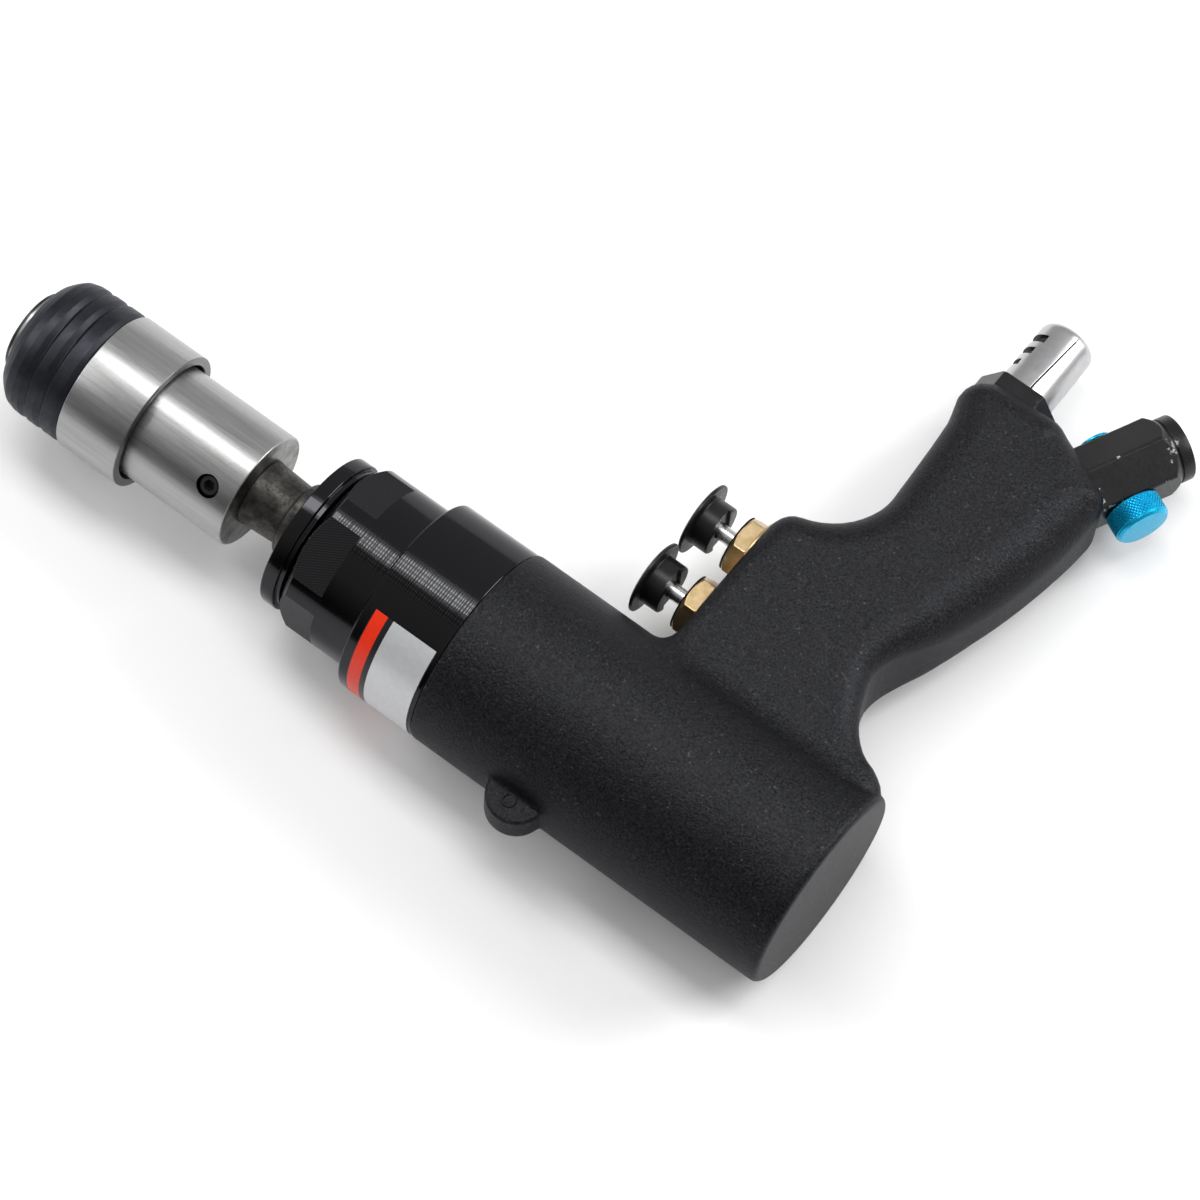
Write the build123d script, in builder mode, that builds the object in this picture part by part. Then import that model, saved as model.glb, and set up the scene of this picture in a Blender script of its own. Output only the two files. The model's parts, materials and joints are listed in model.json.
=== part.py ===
from build123d import *
import os
from math import acos, cos, pi, radians, sin, sqrt, tan

# Pneumatic tapping tool lying on its left side, millimetres.
# +X runs along the spindle towards the chuck, -Y down the grip, +Z up from the table.
# The tool's own lengths are counted from the rear face of the barrel (x) and from the barrel
# axis (y up from the grip, z to the side). The tool rests on its barrel and on the edge of the
# grip's base, so its own y and z lie turned by LEAN about the barrel axis.

os.makedirs("parts", exist_ok=True)

# ---------------------------------------------------------------- driving dimensions
OX, OY, OZ = -108.7092, 57.8015, 25.0   # barrel axis at the rear face, in the part frame
LEAN = 4.62              # degrees, grip end down

BARREL_R = 25.0          # motor barrel
BARREL_L = 96.0          # barrel, rear face to the gear case seam
BARREL_EDGE = 2.6        # rounding of the rear rim
BORE_R = 21.5            # motor bore
REAR_WALL = 6.0
GRIP_T = 31.0            # grip thickness, side to side
GRIP_EDGE = 5.2          # rounding along the grip's outline
TRIGGER_X = 60.0         # flat trigger face
LUG_X, LUG_Y, LUG_R, LUG_T = 66.5, 24.4, 7.2, 8.0

CASE_A_R, CASE_A_X1 = 24.74, 117.1    # large ring of the gear case
CASE_B_R, CASE_B_X1 = 21.3, 135.8     # ring with the wrench flats
CASE_RIM_R, CASE_X1 = 19.6, 143.4    # front rim
FLAT_APOTHEM, FLAT_X0 = 19.68, 127.6
LABEL_X0, LABEL_X1, LABEL_FROM, LABEL_TO = 97.1, 114.4, -85.0, 55.0   # foil band, angles from +Y towards +Z

VALVE_F_Y, VALVE_R_Y = -38.5, -57.3   # forward and reverse valve axes
VALVE_BORE_R = 5.0
GLAND_AF = 13.5
STEM_R = 2.0
BUTTON_R = 8.95
TRAVEL = 3.5                          # button travel

SIL_X, SIL_R, SIL_END = 35.5, 7.1, 147.5
SIL_AF = 19.0
INLET_X, INLET_Y, INLET_TILT = 11.07, -117.915, 26.0
INLET_AF, INLET_HEX_L, INLET_L = 17.0, 21.45, 25.3
INLET_BORE_R = 5.72                   # 1/4 inch pipe thread, core radius
KNOB_R, KNOB_IN, KNOB_OUT = 6.75, 8.75, 14.8   # turned by hand
CAP_R, CAP_OUT = 4.4, 9.4            # low cap on the spool's other end
SPOOL_AT = 7.75                        # spool position along the inlet

MODULE, Z_SUN, Z_PLANET, Z_RING = 0.85, 12, 12, 36
PLANET_C = MODULE * (Z_SUN + Z_PLANET) / 2
ROTOR_R, CYL_BORE_R, CYL_OFFSET = 14.0, 16.5, 2.2

CHUCK_X0, CHUCK_R = 158.9, 14.75
SLEEVE_X0, SLEEVE_X1, SLEEVE_R = 187.4, 204.4, 17.73
LOCK_X0, LOCK_X1 = 204.7, 222.9
NOSE_X1, NOSE_R = 225.7, 10.25
SOCKET_R = 9.5                        # quick-change socket for tap adapters
SCREW_X, SCREW_ANGLE = 165.7, 46.0

# ---------------------------------------------------------------- working planes
CL, SL = cos(radians(LEAN)), sin(radians(LEAN))


def way(x, y, z):
    """Direction given in the tool's own x, y, z."""
    return Vector(x, y * CL - z * SL, y * SL + z * CL)


def at(x, y=0.0, z=0.0):
    """Point given in the tool's own x, y, z."""
    return Vector(OX, OY, OZ) + way(x, y, z)


def across(x, y=0.0, z=0.0):
    """Plane square to the spindle, local x along the tool's y and local y along its z."""
    return Plane(origin=at(x, y, z), x_dir=way(0, 1, 0), z_dir=(1, 0, 0))


def upward(x, y, z=0.0):
    """Plane square to the tool's y, local x along the spindle, facing from the grip to the barrel."""
    return Plane(origin=at(x, y, z), x_dir=(1, 0, 0), z_dir=way(0, 1, 0))


SIDE = Plane(origin=at(0), x_dir=(1, 0, 0), z_dir=way(0, 0, 1))                # x, y of the tool
TURN = Plane(origin=at(0), x_dir=(1, 0, 0), z_dir=way(0, -1, 0))               # x, radius
SPIN = Axis(at(0), (1, 0, 0))
TURN_F = Plane(origin=at(0, VALVE_F_Y), x_dir=(1, 0, 0), z_dir=way(0, -1, 0))
AXIS_F = Axis(at(0, VALVE_F_Y), (1, 0, 0))
TURN_R = Plane(origin=at(0, VALVE_R_Y), x_dir=(1, 0, 0), z_dir=way(0, -1, 0))
AXIS_R = Axis(at(0, VALVE_R_Y), (1, 0, 0))
SIL = Plane(origin=at(SIL_X), x_dir=way(0, -1, 0), z_dir=(-1, 0, 0))           # distance down, radius
AXIS_SIL = Axis(at(SIL_X), way(0, -1, 0))
TH = radians(INLET_TILT)
D = way(-sin(TH), -cos(TH), 0)         # out of the air inlet
E = way(cos(TH), -sin(TH), 0)          # across the inlet, along the regulator spool
IN0 = at(INLET_X, INLET_Y)
INLET = Plane(origin=IN0, x_dir=D, z_dir=E * -1)
AXIS_IN = Axis(IN0, D)
SP0 = IN0 + D * SPOOL_AT
SPOOL = Plane(origin=SP0, x_dir=E, z_dir=D)   # across, radius
AXIS_SP = Axis(SP0, E)


def tooth_outline(teeth, r_tip, r_root, play, phase):
    """Closed involute outline; play thins each tooth at the pitch circle, phase turns a tooth off +Y."""
    r_pitch = MODULE * teeth / 2
    r_base = r_pitch * cos(radians(20))

    def half(r):
        a = acos(min(1.0, r_base / r))
        a0 = radians(20)
        return pi / (2 * teeth) - play / (2 * r_pitch) + (tan(a0) - a0) - (tan(a) - a)

    r_low = max(r_base, r_root)
    steps = [r_low + (r_tip - r_low) * k / 4 for k in range(5)]
    flank = [(r, half(r)) for r in steps]
    if r_root < r_low - 0.01:
        flank = [(r_root, half(r_low) + 0.02)] + flank
    pts = []
    for k in range(teeth):
        mid = radians(phase) + 2 * pi * k / teeth
        pts += [(r * cos(mid - h), r * sin(mid - h)) for r, h in flank]
        pts += [(r * cos(mid + h), r * sin(mid + h)) for r, h in reversed(flank)]
    return pts


GEAR_TIP, GEAR_ROOT = MODULE * (6 + 0.9), MODULE * (6 - 1.25)
RING_TIP, RING_ROOT = 14.86, MODULE * (18 + 1.25)
PLAY = 0.12
SUN_TEETH = tooth_outline(Z_SUN, GEAR_TIP, GEAR_ROOT, PLAY, 0.0)
PLANET_TEETH = tooth_outline(Z_PLANET, GEAR_TIP, GEAR_ROOT, PLAY, 15.0)
RING_SPACE = tooth_outline(Z_RING, RING_ROOT, RING_TIP, -PLAY, 5.0)

# ================================================================ motor housing
with BuildPart() as motor_housing:
    # pistol grip: side outline, drawn from the trigger face round the base to the web
    with BuildSketch(SIDE):
        with BuildLine():
            Line((TRIGGER_X, -12), (TRIGGER_X, -61.3))
            ThreePointArc((TRIGGER_X, -61.3), (58.93, -64.78), (56.09, -67.06))
            Spline((56.09, -67.06), (51.7, -69.4), (48.0, -72.4), (44.9, -76.7), (43.2, -81.2), (42.8, -87.0),
                   tangents=[(-0.93, -0.37), (0.056, -0.998)])
            Line((42.8, -87.0), (43.9, -106.5))
            Spline((43.9, -106.5), (44.9, -111.4), (45.95, -116.8),
                   tangents=[(0.056, -0.998), (0, -1)])
            ThreePointArc((45.95, -116.8), (44.05, -121.25), (39.6, -123.0))
            Line((39.6, -123.0), (23.4, -123.0))
            ThreePointArc((23.4, -123.0), (21.6, -122.8), (19.89, -122.19))
            Line((19.89, -122.19), (5.39, -115.12))
            ThreePointArc((5.39, -115.12), (3.55, -112.95), (2.95, -110.0))
            Spline((2.95, -110.0), (3.86, -97.0), (5.41, -88.5), (9.35, -73.6), (14.8, -59.5), (19.8, -45.5),
                   tangents=[(0.03, 1), (0.02, 1)])
            Spline((19.8, -45.5), (18.4, -40.3), (14.9, -33.1), (9.6, -27.2), (2.4, -24.2),
                   tangents=[(0.02, 1), (-0.92, 0.40)])
            Line((2.4, -24.2), (2.4, -12))
            Line((2.4, -12), (TRIGGER_X, -12))
        make_face()
    extrude(amount=GRIP_T / 2, both=True)
    fillet([e for e in motor_housing.edges()
            if abs(abs(SIDE.to_local_coords(e.center()).Z) - GRIP_T / 2) < 0.01
            and SIDE.to_local_coords(e.center()).Y < -25], GRIP_EDGE)
    # barrel with a rounded rear rim
    with BuildSketch(TURN):
        with BuildLine():
            Line((0, 0), (BARREL_L, 0))
            Line((BARREL_L, 0), (BARREL_L, BARREL_R))
            Line((BARREL_L, BARREL_R), (BARREL_EDGE, BARREL_R))
            ThreePointArc((BARREL_EDGE, BARREL_R),
                          (BARREL_EDGE * (1 - sqrt(0.5)), BARREL_R - BARREL_EDGE * (1 - sqrt(0.5))),
                          (0, BARREL_R - BARREL_EDGE))
            Line((0, BARREL_R - BARREL_EDGE), (0, 0))
        make_face()
    revolve(axis=SPIN)
    # suspension lug with its small cast ring mark
    with BuildSketch(SIDE):
        with Locations((LUG_X, LUG_Y)):
            Circle(LUG_R)
    extrude(amount=LUG_T / 2, both=True)
    with BuildSketch(SIDE.offset(LUG_T / 2)):
        with Locations((LUG_X + 0.4, LUG_Y + 2.4)):
            Circle(1.75)
            Circle(1.2, mode=Mode.SUBTRACT)
    extrude(amount=-0.5, mode=Mode.SUBTRACT)
    # motor bore, open to the front
    with BuildSketch(across(REAR_WALL)):
        Circle(BORE_R)
    extrude(amount=BARREL_L, mode=Mode.SUBTRACT)
    # valve bores behind the trigger face
    with BuildSketch(across(TRIGGER_X + 2, VALVE_F_Y), across(TRIGGER_X + 2, VALVE_R_Y)):
        Circle(VALVE_BORE_R)
    extrude(amount=-(TRIGGER_X + 2 - 35), mode=Mode.SUBTRACT)
    # cross drilling between the two valve chambers
    with BuildSketch(upward(40, VALVE_R_Y)):
        Circle(3.0)
    extrude(amount=VALVE_F_Y - VALVE_R_Y, mode=Mode.SUBTRACT)
    # forward and reverse feeds to the motor
    with BuildSketch(upward(50.6, VALVE_F_Y)):
        Circle(1.3)
    extrude(amount=22, mode=Mode.SUBTRACT)
    with BuildSketch(Plane(origin=at(50.6, VALVE_R_Y), x_dir=(1, 0, 0), z_dir=way(0, 0, 1))):
        Circle(1.3)
    extrude(amount=10.3, mode=Mode.SUBTRACT)
    with BuildSketch(upward(50.6, VALVE_R_Y, 9)):
        Circle(1.3)
    extrude(amount=41, mode=Mode.SUBTRACT)
    # exhaust drilling and the pocket for the exhaust bushing
    with BuildSketch(upward(SIL_X, -123.5)):
        Circle(6.65)
    extrude(amount=13.5, mode=Mode.SUBTRACT)
    with BuildSketch(upward(SIL_X, -112, -9)):
        Circle(3.0)
    extrude(amount=94, mode=Mode.SUBTRACT)
    # air inlet pocket and main air passage up to the reverse valve chamber
    with BuildSketch(Plane(origin=IN0 + D * 1.0, x_dir=E, z_dir=D * -1)):
        Circle(6.45)
    extrude(amount=14.0, mode=Mode.SUBTRACT)
    with BuildSketch(Plane(origin=IN0, x_dir=E, z_dir=D * -1)):
        Circle(4.2)
    extrude(amount=66.5, mode=Mode.SUBTRACT)
motor_housing.part.label = "motor_housing"
export_step(motor_housing.part, "parts/motor_housing.step")

# ================================================================ gear case
with BuildPart() as gear_case:
    with BuildSketch(TURN):
        with BuildLine():
            Polyline((66.2, 18.55), (66.2, 21.0), (66.7, 21.45), (88.4, 21.45), (88.4, 20.0), (90.8, 20.0),
                     (90.8, 21.45), (BARREL_L, 21.45), (BARREL_L, CASE_A_R - 0.3), (BARREL_L + 0.3, CASE_A_R),
                     (CASE_A_X1 - 0.6, CASE_A_R), (CASE_A_X1, CASE_A_R - 0.6), (CASE_A_X1, CASE_B_R),
                     (CASE_B_X1, CASE_B_R), (138.3, 18.9), (138.5, 18.45), (140.2, 18.45), (140.2, CASE_RIM_R - 0.15),
                     (140.4, CASE_RIM_R), (CASE_X1 - 0.4, CASE_RIM_R), (CASE_X1, CASE_RIM_R - 0.4),
                     (CASE_X1, 13.0), (136.5, 13.0), (136.5, 10.2), (132.0, 10.2), (132.0, 16.0),
                     (101.75, 16.0), (101.75, 16.7), (100.05, 16.7), (100.05, 16.0), (99.2, 16.0),
                     (99.2, 18.55), close=True)
        make_face()
    revolve(axis=SPIN)
    # six milled wrench flats
    with BuildSketch(across(FLAT_X0)):
        Circle(23)
        RegularPolygon(FLAT_APOTHEM, 6, major_radius=False, rotation=30, mode=Mode.SUBTRACT)
    extrude(amount=138.4 - FLAT_X0, mode=Mode.SUBTRACT)
gear_case.part.label = "gear_case"
export_step(gear_case.part, "parts/gear_case.step")

# blank foil band on the large ring
with BuildPart() as rating_label:
    with BuildSketch(Plane(origin=at(0), x_dir=(1, 0, 0),
                           z_dir=way(0, -sin(radians(LABEL_FROM)), cos(radians(LABEL_FROM))))):
        with Locations(((LABEL_X0 + LABEL_X1) / 2, CASE_A_R + 0.06)):
            Rectangle(LABEL_X1 - LABEL_X0, 0.1)
    revolve(axis=SPIN, revolution_arc=LABEL_TO - LABEL_FROM)
rating_label.part.label = "rating_label"
export_step(rating_label.part, "parts/rating_label.step")

with BuildPart() as gear_case_o_ring:
    with BuildSketch(TURN):
        with Locations((89.6, 20.72)):
            Circle(0.72)
    revolve(axis=SPIN)
gear_case_o_ring.part.label = "gear_case_o_ring"
export_step(gear_case_o_ring.part, "parts/gear_case_o_ring.step")

# ================================================================ vane motor
with BuildPart() as rear_end_plate:
    with BuildSketch(TURN):
        with BuildLine():
            Polyline((6.0, 9.5), (6.0, 21.0), (6.4, 21.45), (16.5, 21.45), (16.5, 5.0), (13.0, 5.0), (13.0, 9.5), close=True)
        make_face()
    revolve(axis=SPIN)
    with BuildSketch(across(16.5)):
        with PolarLocations(19.0, 2, start_angle=90):
            Circle(1.2)
    extrude(amount=-5, mode=Mode.SUBTRACT)
rear_end_plate.part.label = "rear_end_plate"
export_step(rear_end_plate.part, "parts/rear_end_plate.step")

with BuildPart() as motor_cylinder:
    with BuildSketch(across(16.5)):
        Circle(21.45)
        with Locations((CYL_OFFSET, 0)):
            Circle(CYL_BORE_R, mode=Mode.SUBTRACT)
        with PolarLocations(19.0, 2, start_angle=90):
            Circle(1.2, mode=Mode.SUBTRACT)
    extrude(amount=57.0 - 16.5)
    # feed and exhaust ports through the wall
    with BuildSketch(upward(0, -23)):
        with Locations((50.6, 0), (50.6, -9)):
            Circle(1.3)
        with Locations((SIL_X, 9)):
            Circle(3.0)
    extrude(amount=15, mode=Mode.SUBTRACT)
motor_cylinder.part.label = "motor_cylinder"
export_step(motor_cylinder.part, "parts/motor_cylinder.step")

with BuildPart() as front_end_plate:
    with BuildSketch(TURN):
        with BuildLine():
            Polyline((57.0, 5.0), (57.0, 21.45), (65.8, 21.45), (66.2, 21.0), (66.2, 9.5), (60.0, 9.5), (60.0, 5.0), close=True)
        make_face()
    revolve(axis=SPIN)
    with BuildSketch(across(57.0)):
        with PolarLocations(19.0, 2, start_angle=90):
            Circle(1.2)
    extrude(amount=5, mode=Mode.SUBTRACT)
front_end_plate.part.label = "front_end_plate"
export_step(front_end_plate.part, "parts/front_end_plate.step")

with BuildPart() as cylinder_dowel_pins:
    with BuildSketch(across(11.6)):
        with PolarLocations(19.0, 2, start_angle=90):
            Circle(1.19)
    extrude(amount=61.9 - 11.6)
cylinder_dowel_pins.part.label = "cylinder_dowel_pins"
export_step(cylinder_dowel_pins.part, "parts/cylinder_dowel_pins.step")

with BuildPart() as rotor:
    with BuildSketch(TURN):
        with BuildLine():
            Polyline((7.2, 0), (7.2, 3.7), (7.5, 3.99), (16.8, 3.99), (16.8, ROTOR_R), (56.7, ROTOR_R), (56.7, 3.99),
                     (66.2, 3.99), (66.2, 2.49), (77.3, 2.49), (77.6, 2.2), (77.6, 0), close=True)
        make_face()
    revolve(axis=SPIN)
    with BuildSketch(across(16.8)):
        with PolarLocations(10.2, 5, start_angle=90):
            Rectangle(8.2, 2.2)
    extrude(amount=56.7 - 16.8, mode=Mode.SUBTRACT)
rotor.part.label = "rotor"
export_step(rotor.part, "parts/rotor.step")

with BuildPart() as rotor_vanes:
    with BuildSketch(across(17.0)):
        with PolarLocations(10.0, 5, start_angle=90):
            Rectangle(7.6, 2.16)
    extrude(amount=56.5 - 17.0)
rotor_vanes.part.label = "rotor_vanes"
export_step(rotor_vanes.part, "parts/rotor_vanes.step")

with BuildPart() as rotor_pinion:
    with BuildSketch(across(67.4)):
        with BuildLine():
            Polyline(*SUN_TEETH, close=True)
        make_face()
        Circle(2.5, mode=Mode.SUBTRACT)
    extrude(amount=77.2 - 67.4)
rotor_pinion.part.label = "rotor_pinion"
export_step(rotor_pinion.part, "parts/rotor_pinion.step")

with BuildPart() as rotor_bearing_outer_rings:
    with BuildSketch(TURN):
        with Locations((10.0, (7.95 + 9.48) / 2), (63.0, (7.95 + 9.48) / 2)):
            Rectangle(5.9, 9.48 - 7.95)
        with Locations((10.0, 6.75), (63.0, 6.75)):
            Circle(1.80, mode=Mode.SUBTRACT)
    revolve(axis=SPIN)
rotor_bearing_outer_rings.part.label = "rotor_bearing_outer_rings"
export_step(rotor_bearing_outer_rings.part, "parts/rotor_bearing_outer_rings.step")

with BuildPart() as rotor_bearing_inner_rings:
    with BuildSketch(TURN):
        with Locations((10.0, (4.0 + 5.55) / 2), (63.0, (4.0 + 5.55) / 2)):
            Rectangle(5.9, 5.55 - 4.0)
        with Locations((10.0, 6.75), (63.0, 6.75)):
            Circle(1.80, mode=Mode.SUBTRACT)
    revolve(axis=SPIN)
rotor_bearing_inner_rings.part.label = "rotor_bearing_inner_rings"
export_step(rotor_bearing_inner_rings.part, "parts/rotor_bearing_inner_rings.step")

with BuildPart() as rotor_bearing_balls:
    with Locations(across(10.0), across(63.0)):
        with PolarLocations(6.75, 7):
            Sphere(1.75)
rotor_bearing_balls.part.label = "rotor_bearing_balls"
export_step(rotor_bearing_balls.part, "parts/rotor_bearing_balls.step")

# ================================================================ planetary gearing
with BuildPart() as ring_gear:
    with BuildSketch(across(66.4)):
        Circle(18.5)
        with BuildLine():
            Polyline(*RING_SPACE, close=True)
        make_face(mode=Mode.SUBTRACT)
    extrude(amount=93.0 - 66.4)
ring_gear.part.label = "ring_gear"
export_step(ring_gear.part, "parts/ring_gear.step")

PLANET_AT = [(PLANET_C * cos(radians(a)), PLANET_C * sin(radians(a))) for a in (0, 120, 240)]

with BuildPart() as stage1_carrier:
    with BuildSketch(across(77.9)):
        Circle(13.8)
        with Locations(*PLANET_AT):
            Circle(2.0, mode=Mode.SUBTRACT)
    extrude(amount=4.0)
    with BuildSketch(across(81.9)):
        with BuildLine():
            Polyline(*SUN_TEETH, close=True)
        make_face()
    extrude(amount=92.6 - 81.9)
stage1_carrier.part.label = "stage1_carrier"
export_step(stage1_carrier.part, "parts/stage1_carrier.step")

with BuildPart() as stage1_planet_pins:
    with BuildSketch(across(67.4)):
        with Locations(*PLANET_AT):
            Circle(1.99)
    extrude(amount=81.9 - 67.4)
stage1_planet_pins.part.label = "stage1_planet_pins"
export_step(stage1_planet_pins.part, "parts/stage1_planet_pins.step")

with BuildPart() as stage1_planet_a:
    with BuildSketch(across(67.8, *PLANET_AT[0])):
        with BuildLine():
            Polyline(*PLANET_TEETH, close=True)
        make_face()
        Circle(2.05, mode=Mode.SUBTRACT)
    extrude(amount=77.4 - 67.8)
stage1_planet_a.part.label = "stage1_planet_a"
export_step(stage1_planet_a.part, "parts/stage1_planet_a.step")

with BuildPart() as stage1_planet_b:
    with BuildSketch(across(67.8, *PLANET_AT[1])):
        with BuildLine():
            Polyline(*PLANET_TEETH, close=True)
        make_face()
        Circle(2.05, mode=Mode.SUBTRACT)
    extrude(amount=77.4 - 67.8)
stage1_planet_b.part.label = "stage1_planet_b"
export_step(stage1_planet_b.part, "parts/stage1_planet_b.step")

with BuildPart() as stage1_planet_c:
    with BuildSketch(across(67.8, *PLANET_AT[2])):
        with BuildLine():
            Polyline(*PLANET_TEETH, close=True)
        make_face()
        Circle(2.05, mode=Mode.SUBTRACT)
    extrude(amount=77.4 - 67.8)
stage1_planet_c.part.label = "stage1_planet_c"
export_step(stage1_planet_c.part, "parts/stage1_planet_c.step")

with BuildPart() as stage2_planet_pins:
    with BuildSketch(across(82.3)):
        with Locations(*PLANET_AT):
            Circle(1.99)
    extrude(amount=98.0 - 82.3)
stage2_planet_pins.part.label = "stage2_planet_pins"
export_step(stage2_planet_pins.part, "parts/stage2_planet_pins.step")

with BuildPart() as stage2_planet_a:
    with BuildSketch(across(82.6, *PLANET_AT[0])):
        with BuildLine():
            Polyline(*PLANET_TEETH, close=True)
        make_face()
        Circle(2.05, mode=Mode.SUBTRACT)
    extrude(amount=92.4 - 82.6)
stage2_planet_a.part.label = "stage2_planet_a"
export_step(stage2_planet_a.part, "parts/stage2_planet_a.step")

with BuildPart() as stage2_planet_b:
    with BuildSketch(across(82.6, *PLANET_AT[1])):
        with BuildLine():
            Polyline(*PLANET_TEETH, close=True)
        make_face()
        Circle(2.05, mode=Mode.SUBTRACT)
    extrude(amount=92.4 - 82.6)
stage2_planet_b.part.label = "stage2_planet_b"
export_step(stage2_planet_b.part, "parts/stage2_planet_b.step")

with BuildPart() as stage2_planet_c:
    with BuildSketch(across(82.6, *PLANET_AT[2])):
        with BuildLine():
            Polyline(*PLANET_TEETH, close=True)
        make_face()
        Circle(2.05, mode=Mode.SUBTRACT)
    extrude(amount=92.4 - 82.6)
stage2_planet_c.part.label = "stage2_planet_c"
export_step(stage2_planet_c.part, "parts/stage2_planet_c.step")

# ================================================================ spindle and its bearings
with BuildPart() as spindle:
    with BuildSketch(TURN):
        with BuildLine():
            Polyline((93.4, 0), (93.4, 13.8), (98.0, 13.8), (98.0, 8.49), (132.2, 8.49), (132.5, 8.4), (148.6, 8.4),
                     (148.9, 7.8), (150.0, 7.8), (156.6, 8.2), (158.6, 8.45), (158.6, 7.87), (182.6, 7.27), (182.6, 0), close=True)
        make_face()
    revolve(axis=SPIN)
    with BuildSketch(across(93.4)):
        with Locations(*PLANET_AT):
            Circle(2.0)
    extrude(amount=98.0 - 93.4, mode=Mode.SUBTRACT)
spindle.part.label = "spindle"
export_step(spindle.part, "parts/spindle.step")

with BuildPart() as spindle_collar:
    with BuildSketch(TURN):
        with BuildLine():
            Polyline((143.8, 8.41), (143.8, 9.1), (144.0, 9.35), (147.9, 9.35), (148.3, 8.95), (148.3, 8.41), close=True)
        make_face()
    revolve(axis=SPIN)
spindle_collar.part.label = "spindle_collar"
export_step(spindle_collar.part, "parts/spindle_collar.step")

with BuildPart() as spindle_bearing_outer_rings:
    with BuildSketch(TURN):
        with Locations((106.4, (13.9 + 15.98) / 2), (127.4, (13.9 + 15.98) / 2)):
            Rectangle(9.0, 15.98 - 13.9)
        with Locations((106.4, 12.25), (127.4, 12.25)):
            Circle(2.85, mode=Mode.SUBTRACT)
    revolve(axis=SPIN)
spindle_bearing_outer_rings.part.label = "spindle_bearing_outer_rings"
export_step(spindle_bearing_outer_rings.part, "parts/spindle_bearing_outer_rings.step")

with BuildPart() as spindle_bearing_inner_rings:
    with BuildSketch(TURN):
        with Locations((106.4, (8.5 + 10.6) / 2), (127.4, (8.5 + 10.6) / 2)):
            Rectangle(9.0, 10.6 - 8.5)
        with Locations((106.4, 12.25), (127.4, 12.25)):
            Circle(2.85, mode=Mode.SUBTRACT)
    revolve(axis=SPIN)
spindle_bearing_inner_rings.part.label = "spindle_bearing_inner_rings"
export_step(spindle_bearing_inner_rings.part, "parts/spindle_bearing_inner_rings.step")

with BuildPart() as spindle_bearing_balls:
    with Locations(across(106.4), across(127.4)):
        with PolarLocations(12.25, 9):
            Sphere(2.8)
spindle_bearing_balls.part.label = "spindle_bearing_balls"
export_step(spindle_bearing_balls.part, "parts/spindle_bearing_balls.step")

with BuildPart() as bearing_spacer:
    with BuildSketch(across(110.9)):
        Circle(15.98)
        Circle(14.2, mode=Mode.SUBTRACT)
    extrude(amount=122.9 - 110.9)
bearing_spacer.part.label = "bearing_spacer"
export_step(bearing_spacer.part, "parts/bearing_spacer.step")

with BuildPart() as bearing_circlip:
    with BuildSketch(across(100.15)):
        Circle(16.65)
        Circle(14.4, mode=Mode.SUBTRACT)
        with Locations((0, 15.5)):
            Rectangle(6, 4, mode=Mode.SUBTRACT)
    extrude(amount=1.5)
bearing_circlip.part.label = "bearing_circlip"
export_step(bearing_circlip.part, "parts/bearing_circlip.step")

with BuildPart() as spindle_seal:
    with BuildSketch(TURN):
        with BuildLine():
            Polyline((136.6, 9.4), (136.6, 12.98), (142.6, 12.98), (142.6, 8.46), (141.6, 8.46), (140.8, 9.4), close=True)
        make_face()
    revolve(axis=SPIN)
spindle_seal.part.label = "spindle_seal"
export_step(spindle_seal.part, "parts/spindle_seal.step")

# ================================================================ tapping chuck
SCREW_DIR = way(0, cos(radians(SCREW_ANGLE)), sin(radians(SCREW_ANGLE)))
PIN_X = 191.5

with BuildPart() as chuck_body:
    with BuildSketch(TURN):
        with BuildLine():
            Polyline((CHUCK_X0, 7.88), (CHUCK_X0, CHUCK_R - 0.6), (CHUCK_X0 + 0.6, CHUCK_R), (195.0, CHUCK_R),
                     (195.5, CHUCK_R - 0.5), (195.5, 10.5), (184.5, 10.5), (184.5, 2.5), (182.9, 2.5), (182.9, 7.28), close=True)
        make_face()
    revolve(axis=SPIN)
    with BuildSketch(Plane(origin=at(SCREW_X) + SCREW_DIR * 20, x_dir=(1, 0, 0), z_dir=SCREW_DIR * -1)):
        Circle(2.6)
    extrude(amount=14, mode=Mode.SUBTRACT)
    with BuildSketch(Plane(origin=at(PIN_X, 0, 20), x_dir=(1, 0, 0), z_dir=way(0, 0, -1))):
        Circle(1.4)
    extrude(amount=11, mode=Mode.SUBTRACT)
chuck_body.part.label = "chuck_body"
export_step(chuck_body.part, "parts/chuck_body.step")

with BuildPart() as chuck_set_screw:
    with BuildSketch(Plane(origin=at(SCREW_X) + SCREW_DIR * 8.2, x_dir=(1, 0, 0), z_dir=SCREW_DIR)):
        Circle(2.58)
    extrude(amount=5.7)
    with BuildSketch(Plane(origin=at(SCREW_X) + SCREW_DIR * 13.9, x_dir=(1, 0, 0), z_dir=SCREW_DIR)):
        RegularPolygon(1.25, 6, major_radius=False)
    extrude(amount=-2.4, mode=Mode.SUBTRACT)
    chamfer(chuck_set_screw.edges().filter_by(GeomType.CIRCLE).sort_by(Axis(at(0), SCREW_DIR))[-1], 0.4)
chuck_set_screw.part.label = "chuck_set_screw"
export_step(chuck_set_screw.part, "parts/chuck_set_screw.step")

with BuildPart() as float_drive_pin:
    with BuildSketch(Plane(origin=at(PIN_X, 0, 8.0), x_dir=(1, 0, 0), z_dir=way(0, 0, 1))):
        Circle(1.39)
    extrude(amount=6.5)
float_drive_pin.part.label = "float_drive_pin"
export_step(float_drive_pin.part, "parts/float_drive_pin.step")

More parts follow.
